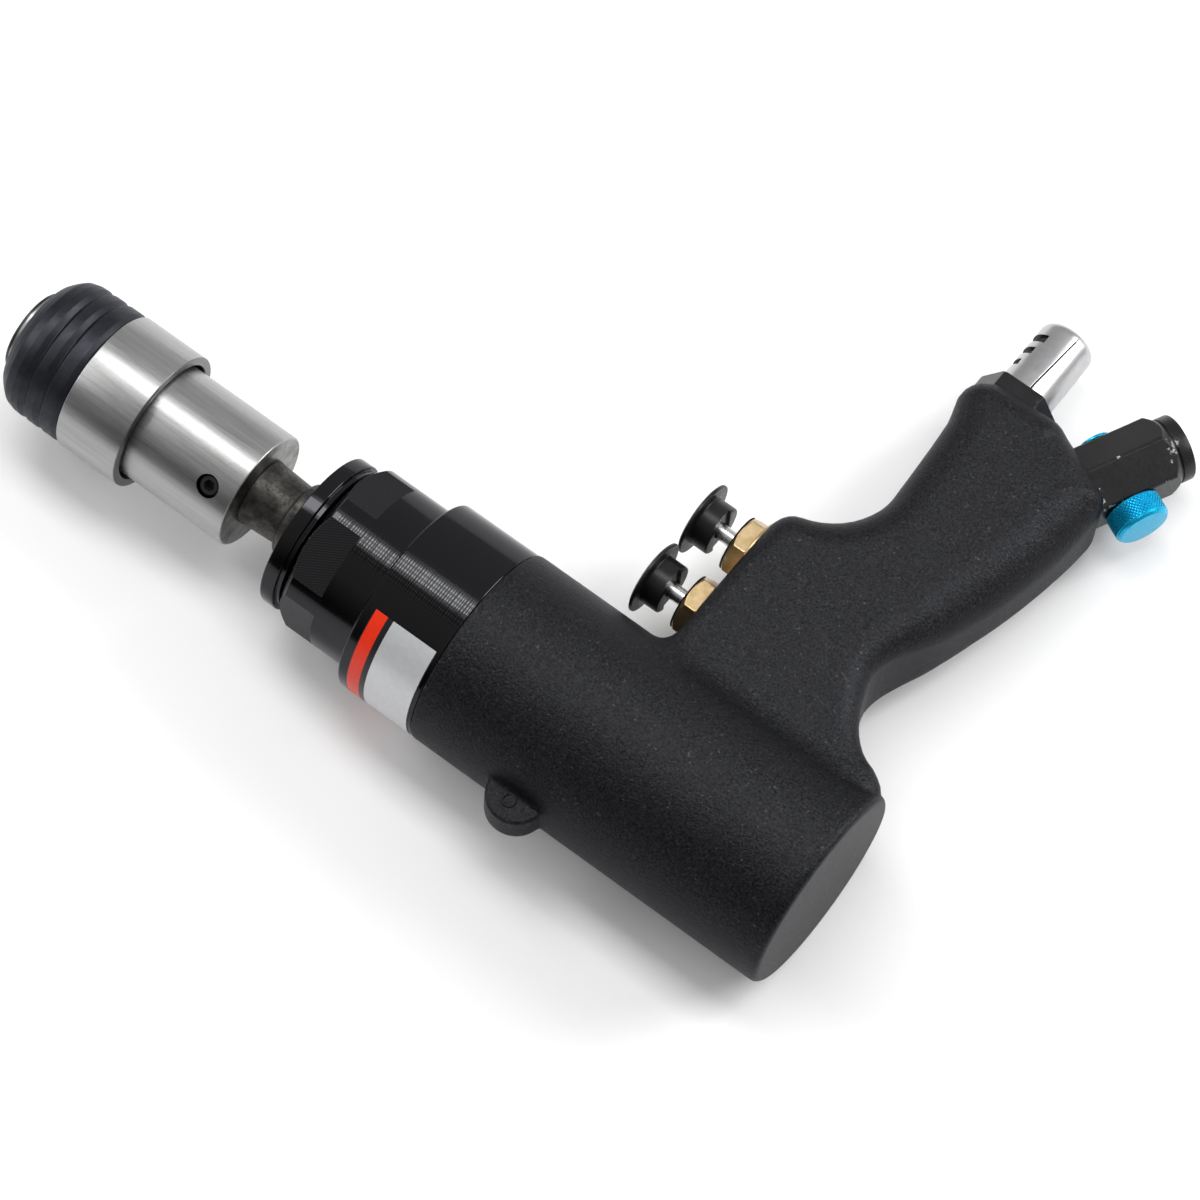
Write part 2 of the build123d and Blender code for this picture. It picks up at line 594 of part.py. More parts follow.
with BuildPart() as float_sleeve:
    with BuildSketch(TURN):
        with BuildLine():
            Polyline((SLEEVE_X0, 15.65), (SLEEVE_X0, SLEEVE_R - 0.25), (SLEEVE_X0 + 0.25, SLEEVE_R), (SLEEVE_X1 - 0.25, SLEEVE_R),
                     (SLEEVE_X1, SLEEVE_R - 0.25), (SLEEVE_X1, 12.52), (200.0, 12.52), (200.0, 15.65), close=True)
        make_face()
    revolve(axis=SPIN)
float_sleeve.part.label = "float_sleeve"
export_step(float_sleeve.part, "parts/float_sleeve.step")

with BuildPart() as tap_socket:
    with BuildSketch(TURN):
        with BuildLine():
            Polyline((188.7, 6.0), (188.7, 10.42), (200.0, 10.42), (200.0, 12.5), (218.8, 12.5), (218.8, 13.7),
                     (220.4, 13.7), (220.6, 13.5), (220.6, NOSE_R), (224.9, NOSE_R), (224.9, SOCKET_R), (203.0, SOCKET_R), (203.0, 4.0),
                     (199.4, 4.0), (199.4, 6.0), close=True)
        make_face()
    revolve(axis=SPIN)
    # axial slot for the drive pin
    with BuildSketch(SIDE.offset(5)):
        with Locations(((190.0 + 197.3) / 2, 0)):
            SlotOverall(197.3 - 190.0, 2.9)
    extrude(amount=7, mode=Mode.SUBTRACT)
    # holes for the locking balls
    with Locations(across(206.6)):
        with PolarLocations(11.0, 3, start_angle=90):
            Cylinder(1.48, 8, rotation=(0, 90, 0), mode=Mode.SUBTRACT)
tap_socket.part.label = "tap_socket"
export_step(tap_socket.part, "parts/tap_socket.step")

with BuildPart() as socket_balls:
    with Locations(across(206.6)):
        with PolarLocations(11.02, 3, start_angle=90):
            Sphere(1.45)
socket_balls.part.label = "socket_balls"
export_step(socket_balls.part, "parts/socket_balls.step")

with BuildPart() as socket_nose_ring:
    with BuildSketch(TURN):
        with BuildLine():
            Polyline((224.9, 9.6), (224.9, NOSE_R), (NOSE_X1 - 0.3, NOSE_R), (NOSE_X1, NOSE_R - 0.25), (NOSE_X1, 9.75), (NOSE_X1 - 0.15, 9.6), close=True)
        make_face()
    revolve(axis=SPIN)
socket_nose_ring.part.label = "socket_nose_ring"
export_step(socket_nose_ring.part, "parts/socket_nose_ring.step")

with BuildPart() as locking_sleeve:
    with BuildSketch(TURN):
        with BuildLine():
            # three flat bands parted by grooves, then a rounded lip
            Polyline((LOCK_X0, 12.55), (LOCK_X0, 16.9), (205.0, 17.1), (206.1, 17.55), (209.3, 17.55), (210.0, 16.9), (210.2, 16.9),
                     (211.5, 17.55), (213.8, 17.55), (214.5, 16.9), (214.7, 16.9), (216.0, 17.55), (217.9, 17.45), (220.1, 16.85),
                     (221.45, 15.75), (222.45, 14.75), (LOCK_X1, 14.25), (LOCK_X1, 14.0), (221.7, 14.0), (220.9, 14.85), (208.6, 14.85),
                     (208.6, 12.55), close=True)
        make_face()
    revolve(axis=SPIN)
locking_sleeve.part.label = "locking_sleeve"
export_step(locking_sleeve.part, "parts/locking_sleeve.step")

with BuildPart() as float_spring:
    with BuildLine() as float_coil:
        Helix(pitch=2.3, height=13.8, radius=4.8, center=at(185.05), direction=(1, 0, 0))
    with BuildSketch(Plane(origin=float_coil.line @ 0, z_dir=float_coil.line % 0)):
        Circle(0.5)
    sweep(path=float_coil.line, is_frenet=True)
float_spring.part.label = "float_spring"
export_step(float_spring.part, "parts/float_spring.step")

with BuildPart() as locking_spring:
    with BuildLine() as lock_coil:
        Helix(pitch=2.25, height=9.0, radius=13.65, center=at(209.2), direction=(1, 0, 0))
    with BuildSketch(Plane(origin=lock_coil.line @ 0, z_dir=lock_coil.line % 0)):
        Circle(0.5)
    sweep(path=lock_coil.line, is_frenet=True)
locking_spring.part.label = "locking_spring"
export_step(locking_spring.part, "parts/locking_spring.step")

# ================================================================ valves and buttons
with BuildPart() as forward_valve_gland:
    with BuildSketch(TURN_F):
        with BuildLine():
            Polyline((52.3, 2.05), (52.3, 4.6), (52.7, 4.98), (TRIGGER_X, 4.98), (TRIGGER_X, 8.1), (61.1, 8.1), (61.1, 2.05), close=True)
        make_face()
    revolve(axis=AXIS_F)
    with BuildSketch(across(61.1, VALVE_F_Y)):
        RegularPolygon(GLAND_AF / 2, 6, major_radius=False)
        Circle(2.05, mode=Mode.SUBTRACT)
    extrude(amount=4.5)
    with BuildSketch(TURN_F):
        with BuildLine():
            Polyline((64.4, 8.2), (65.7, 8.2), (65.7, 5.9), close=True)
        make_face()
    revolve(axis=AXIS_F, mode=Mode.SUBTRACT)
forward_valve_gland.part.label = "forward_valve_gland"
export_step(forward_valve_gland.part, "parts/forward_valve_gland.step")

with BuildPart() as reverse_valve_gland:
    with BuildSketch(TURN_R):
        with BuildLine():
            Polyline((52.3, 2.05), (52.3, 4.6), (52.7, 4.98), (TRIGGER_X, 4.98), (TRIGGER_X, 8.1), (61.1, 8.1), (61.1, 2.05), close=True)
        make_face()
    revolve(axis=AXIS_R)
    with BuildSketch(across(61.1, VALVE_R_Y)):
        RegularPolygon(GLAND_AF / 2, 6, major_radius=False)
        Circle(2.05, mode=Mode.SUBTRACT)
    extrude(amount=4.5)
    with BuildSketch(TURN_R):
        with BuildLine():
            Polyline((64.4, 8.2), (65.7, 8.2), (65.7, 5.9), close=True)
        make_face()
    revolve(axis=AXIS_R, mode=Mode.SUBTRACT)
reverse_valve_gland.part.label = "reverse_valve_gland"
export_step(reverse_valve_gland.part, "parts/reverse_valve_gland.step")

with BuildPart() as valve_seats:
    with BuildSketch(across(46.0, VALVE_F_Y), across(46.0, VALVE_R_Y)):
        Circle(4.98)
        Circle(3.0, mode=Mode.SUBTRACT)
    extrude(amount=3.0)
valve_seats.part.label = "valve_seats"
export_step(valve_seats.part, "parts/valve_seats.step")

with BuildPart() as valve_springs:
    with BuildLine() as coil_f:
        Helix(pitch=1.5, height=7.5, radius=3.0, center=at(35.4, VALVE_F_Y), direction=(1, 0, 0))
    with BuildSketch(Plane(origin=coil_f.line @ 0, z_dir=coil_f.line % 0)):
        Circle(0.35)
    sweep(path=coil_f.line, is_frenet=True)
    with BuildLine() as coil_r:
        Helix(pitch=1.5, height=7.5, radius=3.0, center=at(35.4, VALVE_R_Y), direction=(1, 0, 0))
    with BuildSketch(Plane(origin=coil_r.line @ 0, z_dir=coil_r.line % 0)):
        Circle(0.35)
    sweep(path=coil_r.line, is_frenet=True)
valve_springs.part.label = "valve_springs"
export_step(valve_springs.part, "parts/valve_springs.step")

with BuildPart() as forward_valve_stem:
    with BuildSketch(TURN_F):
        with BuildLine():
            Polyline((40.5, 0), (40.5, STEM_R), (73.0, STEM_R), (73.0, 0), close=True)
        make_face()
    revolve(axis=AXIS_F)
forward_valve_stem.part.label = "forward_valve_stem"
export_step(forward_valve_stem.part, "parts/forward_valve_stem.step")

with BuildPart() as reverse_valve_stem:
    with BuildSketch(TURN_R):
        with BuildLine():
            Polyline((40.5, 0), (40.5, STEM_R), (73.0, STEM_R), (73.0, 0), close=True)
        make_face()
    revolve(axis=AXIS_R)
reverse_valve_stem.part.label = "reverse_valve_stem"
export_step(reverse_valve_stem.part, "parts/reverse_valve_stem.step")

with BuildPart() as forward_valve_disc:
    with BuildSketch(TURN_F):
        with BuildLine():
            Polyline((43.3, 2.01), (43.3, 4.2), (45.9, 4.2), (45.9, 2.01), close=True)
        make_face()
    revolve(axis=AXIS_F)
forward_valve_disc.part.label = "forward_valve_disc"
export_step(forward_valve_disc.part, "parts/forward_valve_disc.step")

with BuildPart() as reverse_valve_disc:
    with BuildSketch(TURN_R):
        with BuildLine():
            Polyline((43.3, 2.01), (43.3, 4.2), (45.9, 4.2), (45.9, 2.01), close=True)
        make_face()
    revolve(axis=AXIS_R)
reverse_valve_disc.part.label = "reverse_valve_disc"
export_step(reverse_valve_disc.part, "parts/reverse_valve_disc.step")

BUTTON_PROFILE = [(70.0, 2.01), (70.0, 5.8), (70.4, 6.2), (74.3, 6.2), (74.1, 8.5), (74.5, BUTTON_R), (76.55, BUTTON_R),
                  (76.95, 8.55), (76.8, 7.9), (76.1, 4.0), (76.0, 0), (73.1, 0), (73.1, 2.01)]
BUTTON_SLOT = (6.0, 0.7)              # driver slot across the hub's rear end

with BuildPart() as forward_button:
    with BuildSketch(TURN_F):
        with BuildLine():
            Polyline(*BUTTON_PROFILE, close=True)
        make_face()
    revolve(axis=AXIS_F)
    with BuildSketch(across(70.0, VALVE_F_Y)):
        Rectangle(BUTTON_SLOT[0], 16)
    extrude(amount=BUTTON_SLOT[1], mode=Mode.SUBTRACT)
forward_button.part.label = "forward_button"
export_step(forward_button.part, "parts/forward_button.step")

with BuildPart() as reverse_button:
    with BuildSketch(TURN_R):
        with BuildLine():
            Polyline(*BUTTON_PROFILE, close=True)
        make_face()
    revolve(axis=AXIS_R)
    with BuildSketch(across(70.0, VALVE_R_Y)):
        Rectangle(BUTTON_SLOT[0], 16)
    extrude(amount=BUTTON_SLOT[1], mode=Mode.SUBTRACT)
reverse_button.part.label = "reverse_button"
export_step(reverse_button.part, "parts/reverse_button.step")

# ================================================================ exhaust
with BuildPart() as exhaust_bushing:
    with BuildSketch(Plane(origin=at(SIL_X, -123.0), x_dir=(1, 0, 0), z_dir=way(0, -1, 0))):
        RegularPolygon(SIL_AF / 2, 6, major_radius=False)
    extrude(amount=4.0)
    with BuildSketch(SIL):
        with BuildLine():
            Polyline((111.5, 0), (111.5, 6.3), (111.9, 6.62), (123.0, 6.62), (123.0, 0), close=True)
        make_face()
    revolve(axis=AXIS_SIL)
    with BuildSketch(SIL):
        with BuildLine():
            Polyline((111.0, 0), (111.0, 5.0), (124.4, 5.0), (124.4, SIL_R + 0.02), (128.0, SIL_R + 0.02), (128.0, 0), close=True)
        make_face()
    revolve(axis=AXIS_SIL, mode=Mode.SUBTRACT)
    with BuildSketch(SIL):
        with BuildLine():
            Polyline((126.2, 11.2), (127.1, 11.2), (127.1, 9.6), close=True)
        make_face()
    revolve(axis=AXIS_SIL, mode=Mode.SUBTRACT)
exhaust_bushing.part.label = "exhaust_bushing"
export_step(exhaust_bushing.part, "parts/exhaust_bushing.step")

with BuildPart() as silencer_tube:
    with BuildSketch(SIL):
        with BuildLine():
            Line((124.4, 6.0), (124.4, SIL_R))
            Line((124.4, SIL_R), (SIL_END - 2.2, SIL_R))
            ThreePointArc((SIL_END - 2.2, SIL_R), (SIL_END - 2.2 * (1 - sqrt(0.5)), SIL_R - 2.2 * (1 - sqrt(0.5))), (SIL_END, SIL_R - 2.2))
            Line((SIL_END, SIL_R - 2.2), (SIL_END, 0))
            Line((SIL_END, 0), (SIL_END - 1.2, 0))
            Line((SIL_END - 1.2, 0), (SIL_END - 1.2, 4.9))
            Line((SIL_END - 1.2, 4.9), (SIL_END - 2.4, 6.0))
            Line((SIL_END - 2.4, 6.0), (124.4, 6.0))
        make_face()
    revolve(axis=AXIS_SIL)
    # three sawn outlet slots, each deeper than the one before
    with BuildSketch(SIDE):
        with Locations((SIL_X + SIL_R * cos(radians(42)) + 2, -133.45)):
            Rectangle(4.0, 1.6)
        with Locations((SIL_X + SIL_R * cos(radians(54)) + 2.5, -137.4)):
            Rectangle(5.0, 1.8)
        with Locations((SIL_X + SIL_R * cos(radians(62)) + 3, -141.3)):
            Rectangle(6.0, 2.0)
    extrude(amount=10, both=True, mode=Mode.SUBTRACT)
silencer_tube.part.label = "silencer_tube"
export_step(silencer_tube.part, "parts/silencer_tube.step")

with BuildPart() as silencer_wick:
    with BuildSketch(SIL):
        with BuildLine():
            Polyline((125.0, 0), (125.0, 5.95), (144.9, 5.95), (146.1, 4.8), (146.1, 0), close=True)
        make_face()
    revolve(axis=AXIS_SIL)
silencer_wick.part.label = "silencer_wick"
export_step(silencer_wick.part, "parts/silencer_wick.step")

# ================================================================ air inlet and regulator
with BuildPart() as inlet_bushing:
    with BuildSketch(Plane(origin=IN0, x_dir=E, z_dir=D)):
        RegularPolygon(INLET_AF / 2, 6, major_radius=False, rotation=30)
    extrude(amount=INLET_HEX_L)
    with BuildSketch(INLET):
        with BuildLine():
            Polyline((-12.0, 0), (-12.0, 6.1), (-11.7, 6.42), (0, 6.42), (0, 8.2), (INLET_HEX_L, 8.2), (INLET_HEX_L, 7.7),
                     (INLET_HEX_L + 0.6, 7.7), (INLET_HEX_L + 0.9, 8.05), (INLET_L - 0.4, 8.05), (INLET_L, 7.65), (INLET_L, 0), close=True)
        make_face()
    revolve(axis=AXIS_IN)
    # chamfered outer corners of the hexagon
    with BuildSketch(INLET):
        with BuildLine():
            Polyline((INLET_HEX_L - 2.2, 10.2), (INLET_HEX_L + 0.1, 10.2), (INLET_HEX_L + 0.1, 8.1), close=True)
        make_face()
    revolve(axis=AXIS_IN, mode=Mode.SUBTRACT)
    # threaded socket and air way
    with BuildSketch(INLET):
        with BuildLine():
            Polyline((-13.0, 0), (-13.0, 3.0), (12.1, 3.0), (12.1, 4.7), (12.8, 4.7), (12.8, INLET_BORE_R), (INLET_L - 0.6, INLET_BORE_R),
                     (INLET_L + 0.1, INLET_BORE_R + 0.7), (INLET_L + 0.1, 0), close=True)
        make_face()
    revolve(axis=AXIS_IN, mode=Mode.SUBTRACT)
    # cross bore for the regulator spool
    with BuildSketch(Plane(origin=SP0 - E * 12, x_dir=D, z_dir=E)):
        Circle(4.05)
    extrude(amount=24, mode=Mode.SUBTRACT)
inlet_bushing.part.label = "inlet_bushing"
export_step(inlet_bushing.part, "parts/inlet_bushing.step")

with BuildPart() as inlet_screen:
    with BuildSketch(Plane(origin=IN0 + D * 12.1, x_dir=E, z_dir=D)):
        Circle(4.68)
        with GridLocations(1.6, 1.6, 3, 3):
            Rectangle(1.1, 1.1, mode=Mode.SUBTRACT)
    extrude(amount=0.6)
inlet_screen.part.label = "inlet_screen"
export_step(inlet_screen.part, "parts/inlet_screen.step")

with BuildPart() as regulator_spool:
    with BuildSketch(SPOOL):
        with BuildLine():
            Polyline((-12.9, 0), (-12.9, 3.0), (-8.7, 3.0), (-8.7, 4.0), (8.7, 4.0), (8.7, 1.5), (9.0, 1.5), (9.0, 0), close=True)
        make_face()
    revolve(axis=AXIS_SP)
    with BuildSketch(Plane(origin=SP0 - D * 6, x_dir=E, z_dir=D)):
        Circle(2.6)
    extrude(amount=12, mode=Mode.SUBTRACT)
regulator_spool.part.label = "regulator_spool"
export_step(regulator_spool.part, "parts/regulator_spool.step")

with BuildPart() as regulator_knob:
    with BuildSketch(SPOOL):
        with BuildLine():
            Polyline((-KNOB_IN, 3.01), (-KNOB_IN, KNOB_R - 0.5), (-KNOB_IN - 0.5, KNOB_R), (-KNOB_OUT + 0.7, KNOB_R), (-KNOB_OUT, KNOB_R - 0.7),
                     (-KNOB_OUT, 0), (-12.95, 0), (-12.95, 3.01), close=True)
        make_face()
    revolve(axis=AXIS_SP)
regulator_knob.part.label = "regulator_knob"
export_step(regulator_knob.part, "parts/regulator_knob.step")

with BuildPart() as regulator_cap:
    with BuildSketch(SPOOL):
        with BuildLine():
            Polyline((KNOB_IN, 1.51), (KNOB_IN, CAP_R), (CAP_OUT - 0.3, CAP_R), (CAP_OUT, CAP_R - 0.3), (CAP_OUT, 0), (9.05, 0), (9.05, 1.51), close=True)
        make_face()
    revolve(axis=AXIS_SP)
regulator_cap.part.label = "regulator_cap"
export_step(regulator_cap.part, "parts/regulator_cap.step")
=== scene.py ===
import json
import math

import bmesh
import bpy
import numpy as np
from mathutils import Matrix, Vector


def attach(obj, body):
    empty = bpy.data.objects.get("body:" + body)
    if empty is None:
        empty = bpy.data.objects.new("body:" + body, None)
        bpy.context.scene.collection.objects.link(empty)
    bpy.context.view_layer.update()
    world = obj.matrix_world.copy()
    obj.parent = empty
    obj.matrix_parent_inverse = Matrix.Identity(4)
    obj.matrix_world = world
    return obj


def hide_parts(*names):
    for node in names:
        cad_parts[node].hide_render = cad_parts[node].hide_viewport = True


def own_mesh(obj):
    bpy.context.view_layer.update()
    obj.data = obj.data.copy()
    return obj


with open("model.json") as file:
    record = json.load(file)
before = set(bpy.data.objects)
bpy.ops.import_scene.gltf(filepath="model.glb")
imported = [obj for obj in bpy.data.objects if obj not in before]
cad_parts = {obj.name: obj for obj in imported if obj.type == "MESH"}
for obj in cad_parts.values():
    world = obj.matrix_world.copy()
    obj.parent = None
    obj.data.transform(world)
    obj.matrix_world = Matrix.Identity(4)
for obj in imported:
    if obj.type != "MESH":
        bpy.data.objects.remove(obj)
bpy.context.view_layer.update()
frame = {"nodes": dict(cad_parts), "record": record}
nodes = frame["nodes"]

# ------------------------------------------------------------------ the tool's own frame
# Lengths below are millimetres from the rear face of the barrel (x) and the barrel axis (y, z).
OX, OY, OZ = -108.7092, 57.8015, 25.0
LEAN = math.radians(4.62)
CL, SL = math.cos(LEAN), math.sin(LEAN)
AXIS_Y, AXIS_Z = OY / 1000, OZ / 1000


def way(v):
    v = np.asarray(v, float)
    return np.stack([v[..., 0], v[..., 1] * CL - v[..., 2] * SL, v[..., 1] * SL + v[..., 2] * CL], -1)


def at(v):
    return (way(v) + np.array([OX, OY, OZ])) / 1000


class Ax:
    """An axis with two cross directions: a point is o + a*t + r*(u cos + v sin)."""

    def __init__(self, o, a, u, v):
        self.o, self.a, self.u, self.v = (np.asarray(k, float) for k in (o, a, u, v))

    def pts(self, t, r, th):
        return (self.o + np.multiply.outer(t, self.a) + np.multiply.outer(r * np.cos(th), self.u)
                + np.multiply.outer(r * np.sin(th), self.v))


TILT = math.radians(26.0)
DIR_D = np.array([-math.sin(TILT), -math.cos(TILT), 0])
DIR_E = np.array([math.cos(TILT), -math.sin(TILT), 0])
IN0 = np.array([11.07, -117.915, 0.0])
Y, Z = (0, 1, 0), (0, 0, 1)
SPIN = Ax((0, 0, 0), (1, 0, 0), Y, Z)
VALVE_F = Ax((0, -38.5, 0), (1, 0, 0), Y, Z)
VALVE_R = Ax((0, -57.3, 0), (1, 0, 0), Y, Z)
SIL = Ax((35.5, 0, 0), (0, -1, 0), (1, 0, 0), Z)
INLET = Ax(IN0, DIR_D, DIR_E, Z)
SPOOL_P = Ax(IN0 + DIR_D * 7.75, DIR_E, DIR_D, Z)
SPOOL_N = Ax(IN0 + DIR_D * 7.75, -DIR_E, DIR_D, Z)


# ------------------------------------------------------------------ mesh helpers
def make(name, verts, faces, body, mat, replaces=(), sharp=32, attrs=None, clean=True):
    """A finished piece from tool-frame points: linked, shaded, riding on its body."""
    me = bpy.data.meshes.new(name)
    me.from_pydata([tuple(p) for p in at(verts)], [], [tuple(int(i) for i in f) for f in faces])
    if attrs:
        for key, val in attrs.items():
            me.attributes.new(key, "FLOAT", "POINT").data.foreach_set("value", np.asarray(val, np.float32))
    if clean:
        bm = bmesh.new()
        bm.from_mesh(me)
        bmesh.ops.remove_doubles(bm, verts=bm.verts, dist=2e-7)
        bmesh.ops.dissolve_degenerate(bm, edges=bm.edges, dist=1e-8)
        bmesh.ops.recalc_face_normals(bm, faces=bm.faces)
        bm.to_mesh(me)
        bm.free()
    ob = bpy.data.objects.new(name, me)
    bpy.context.scene.collection.objects.link(ob)
    shade(ob, sharp)
    me.materials.append(mat)
    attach(ob, body)
    if replaces:
        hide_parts(*replaces)
    return ob


def shade(ob, sharp):
    ob.data.shade_smooth()
    ob.data.set_sharp_from_angle(angle=math.radians(sharp))


def rounded(pts, seg=5):
    """Closed profile with filleted corners: points (t, r) or (t, r, fillet)."""
    out = []
    n = len(pts)
    for i in range(n):
        p = np.array(pts[i][:2], float)
        f = pts[i][2] if len(pts[i]) > 2 else 0
        a, b = np.array(pts[i - 1][:2], float), np.array(pts[(i + 1) % n][:2], float)
        da, db = a - p, b - p
        la, lb = np.linalg.norm(da), np.linalg.norm(db)
        if f <= 0 or la < 1e-9 or lb < 1e-9:
            out.append(tuple(p))
            continue
        da, db = da / la, db / lb
        ang = math.acos(max(-1, min(1, float(da @ db))))
        if ang > math.pi - 0.02 or ang < 0.02:
            out.append(tuple(p))
            continue
        d = min(f / math.tan(ang / 2), 0.48 * la, 0.48 * lb)
        rad = d * math.tan(ang / 2)
        mid = (da + db) / np.linalg.norm(da + db)
        c = p + mid * rad / math.sin(ang / 2)
        s, e = p + da * d - c, p + db * d - c
        a0, a1 = math.atan2(s[1], s[0]), math.atan2(e[1], e[0])
        turn = (a1 - a0 + math.pi) % (2 * math.pi) - math.pi
        for k in range(seg + 1):
            w = a0 + turn * k / seg
            out.append((c[0] + rad * math.cos(w), c[1] + rad * math.sin(w)))
    return out


def densify(prof, step, lo, hi):
    """Splits the profile's runs between lo and hi along t so that no step is longer."""
    out = []
    n = len(prof)
    for i in range(n):
        p, q = np.array(prof[i]), np.array(prof[(i + 1) % n])
        out.append(tuple(p))
        if min(p[0], q[0]) >= lo - 1e-6 and max(p[0], q[0]) <= hi + 1e-6:
            m = int(np.linalg.norm(q - p) / step)
            for k in range(1, m):
                out.append(tuple(p + (q - p) * k / m))
    return out


def revolve(prof, ax, n=256, rmod=None, th0=0.0, twist=None):
    """Points and faces of a closed profile turned about an axis; rmod(t, r, th) reshapes it."""
    prof = np.array(prof, float)
    th = th0 + 2 * math.pi * np.arange(n) / n
    T = np.repeat(prof[:, :1], n, 1)
    R = np.repeat(prof[:, 1:], n, 1)
    TH = np.repeat(th[None], len(prof), 0)
    if twist is not None:
        TH = TH + twist(T)
    if rmod is not None:
        R = rmod(T, R, TH)
    P = ax.o + T[..., None] * ax.a + (R * np.cos(TH))[..., None] * ax.u + (R * np.sin(TH))[..., None] * ax.v
    m = len(prof)
    i, j = np.meshgrid(np.arange(m), np.arange(n), indexing="ij")
    i2, j2 = (i + 1) % m, (j + 1) % n
    F = np.stack([i * n + j, i2 * n + j, i2 * n + j2, i * n + j2], -1).reshape(-1, 4)
    flat = (prof[F[:, 0] // n, 1] < 1e-9) & (prof[F[:, 1] // n, 1] < 1e-9)
    return P.reshape(-1, 3), F[~flat], T.ravel(), R.ravel(), TH.ravel()


def hexagon(af, th_flat=0.0, p=90):
    """Radius of a hexagon with softly broken edges; a flat faces th_flat."""

    def r(th):
        s = 0
        for k in range(6):
            s = s + np.maximum(np.cos(th - th_flat - k * math.pi / 3), 0) ** p
        return (af / 2) * s ** (-1.0 / p)

    return r


def cut(ob, cutters):
    """Subtracts temporary closed meshes from a piece."""
    for verts, faces in cutters:
        me = bpy.data.meshes.new("cutter")
        me.from_pydata([tuple(p) for p in at(verts)], [], [tuple(int(i) for i in f) for f in faces])
        bm = bmesh.new()
        bm.from_mesh(me)
        bmesh.ops.remove_doubles(bm, verts=bm.verts, dist=2e-7)
        bmesh.ops.recalc_face_normals(bm, faces=bm.faces)
        bm.to_mesh(me)
        bm.free()
        c = bpy.data.objects.new("cutter", me)
        bpy.context.scene.collection.objects.link(c)
        m = ob.modifiers.new("cut", "BOOLEAN")
        m.operation, m.object, m.solver = "DIFFERENCE", c, "EXACT"
        dg = bpy.context.evaluated_depsgraph_get()
        new = bpy.data.meshes.new_from_object(ob.evaluated_get(dg))
        old = ob.data
        ob.modifiers.clear()
        ob.data = new
        bpy.data.meshes.remove(old)
        bpy.data.objects.remove(c)
        bpy.data.meshes.remove(me)


def box_mesh(lo, hi):
    v = [(x, y, z) for x in (lo[0], hi[0]) for y in (lo[1], hi[1]) for z in (lo[2], hi[2])]
    f = [(0, 1, 3, 2), (4, 6, 7, 5), (0, 4, 5, 1), (2, 3, 7, 6), (0, 2, 6, 4), (1, 5, 7, 3)]
    return np.array(v, float), f


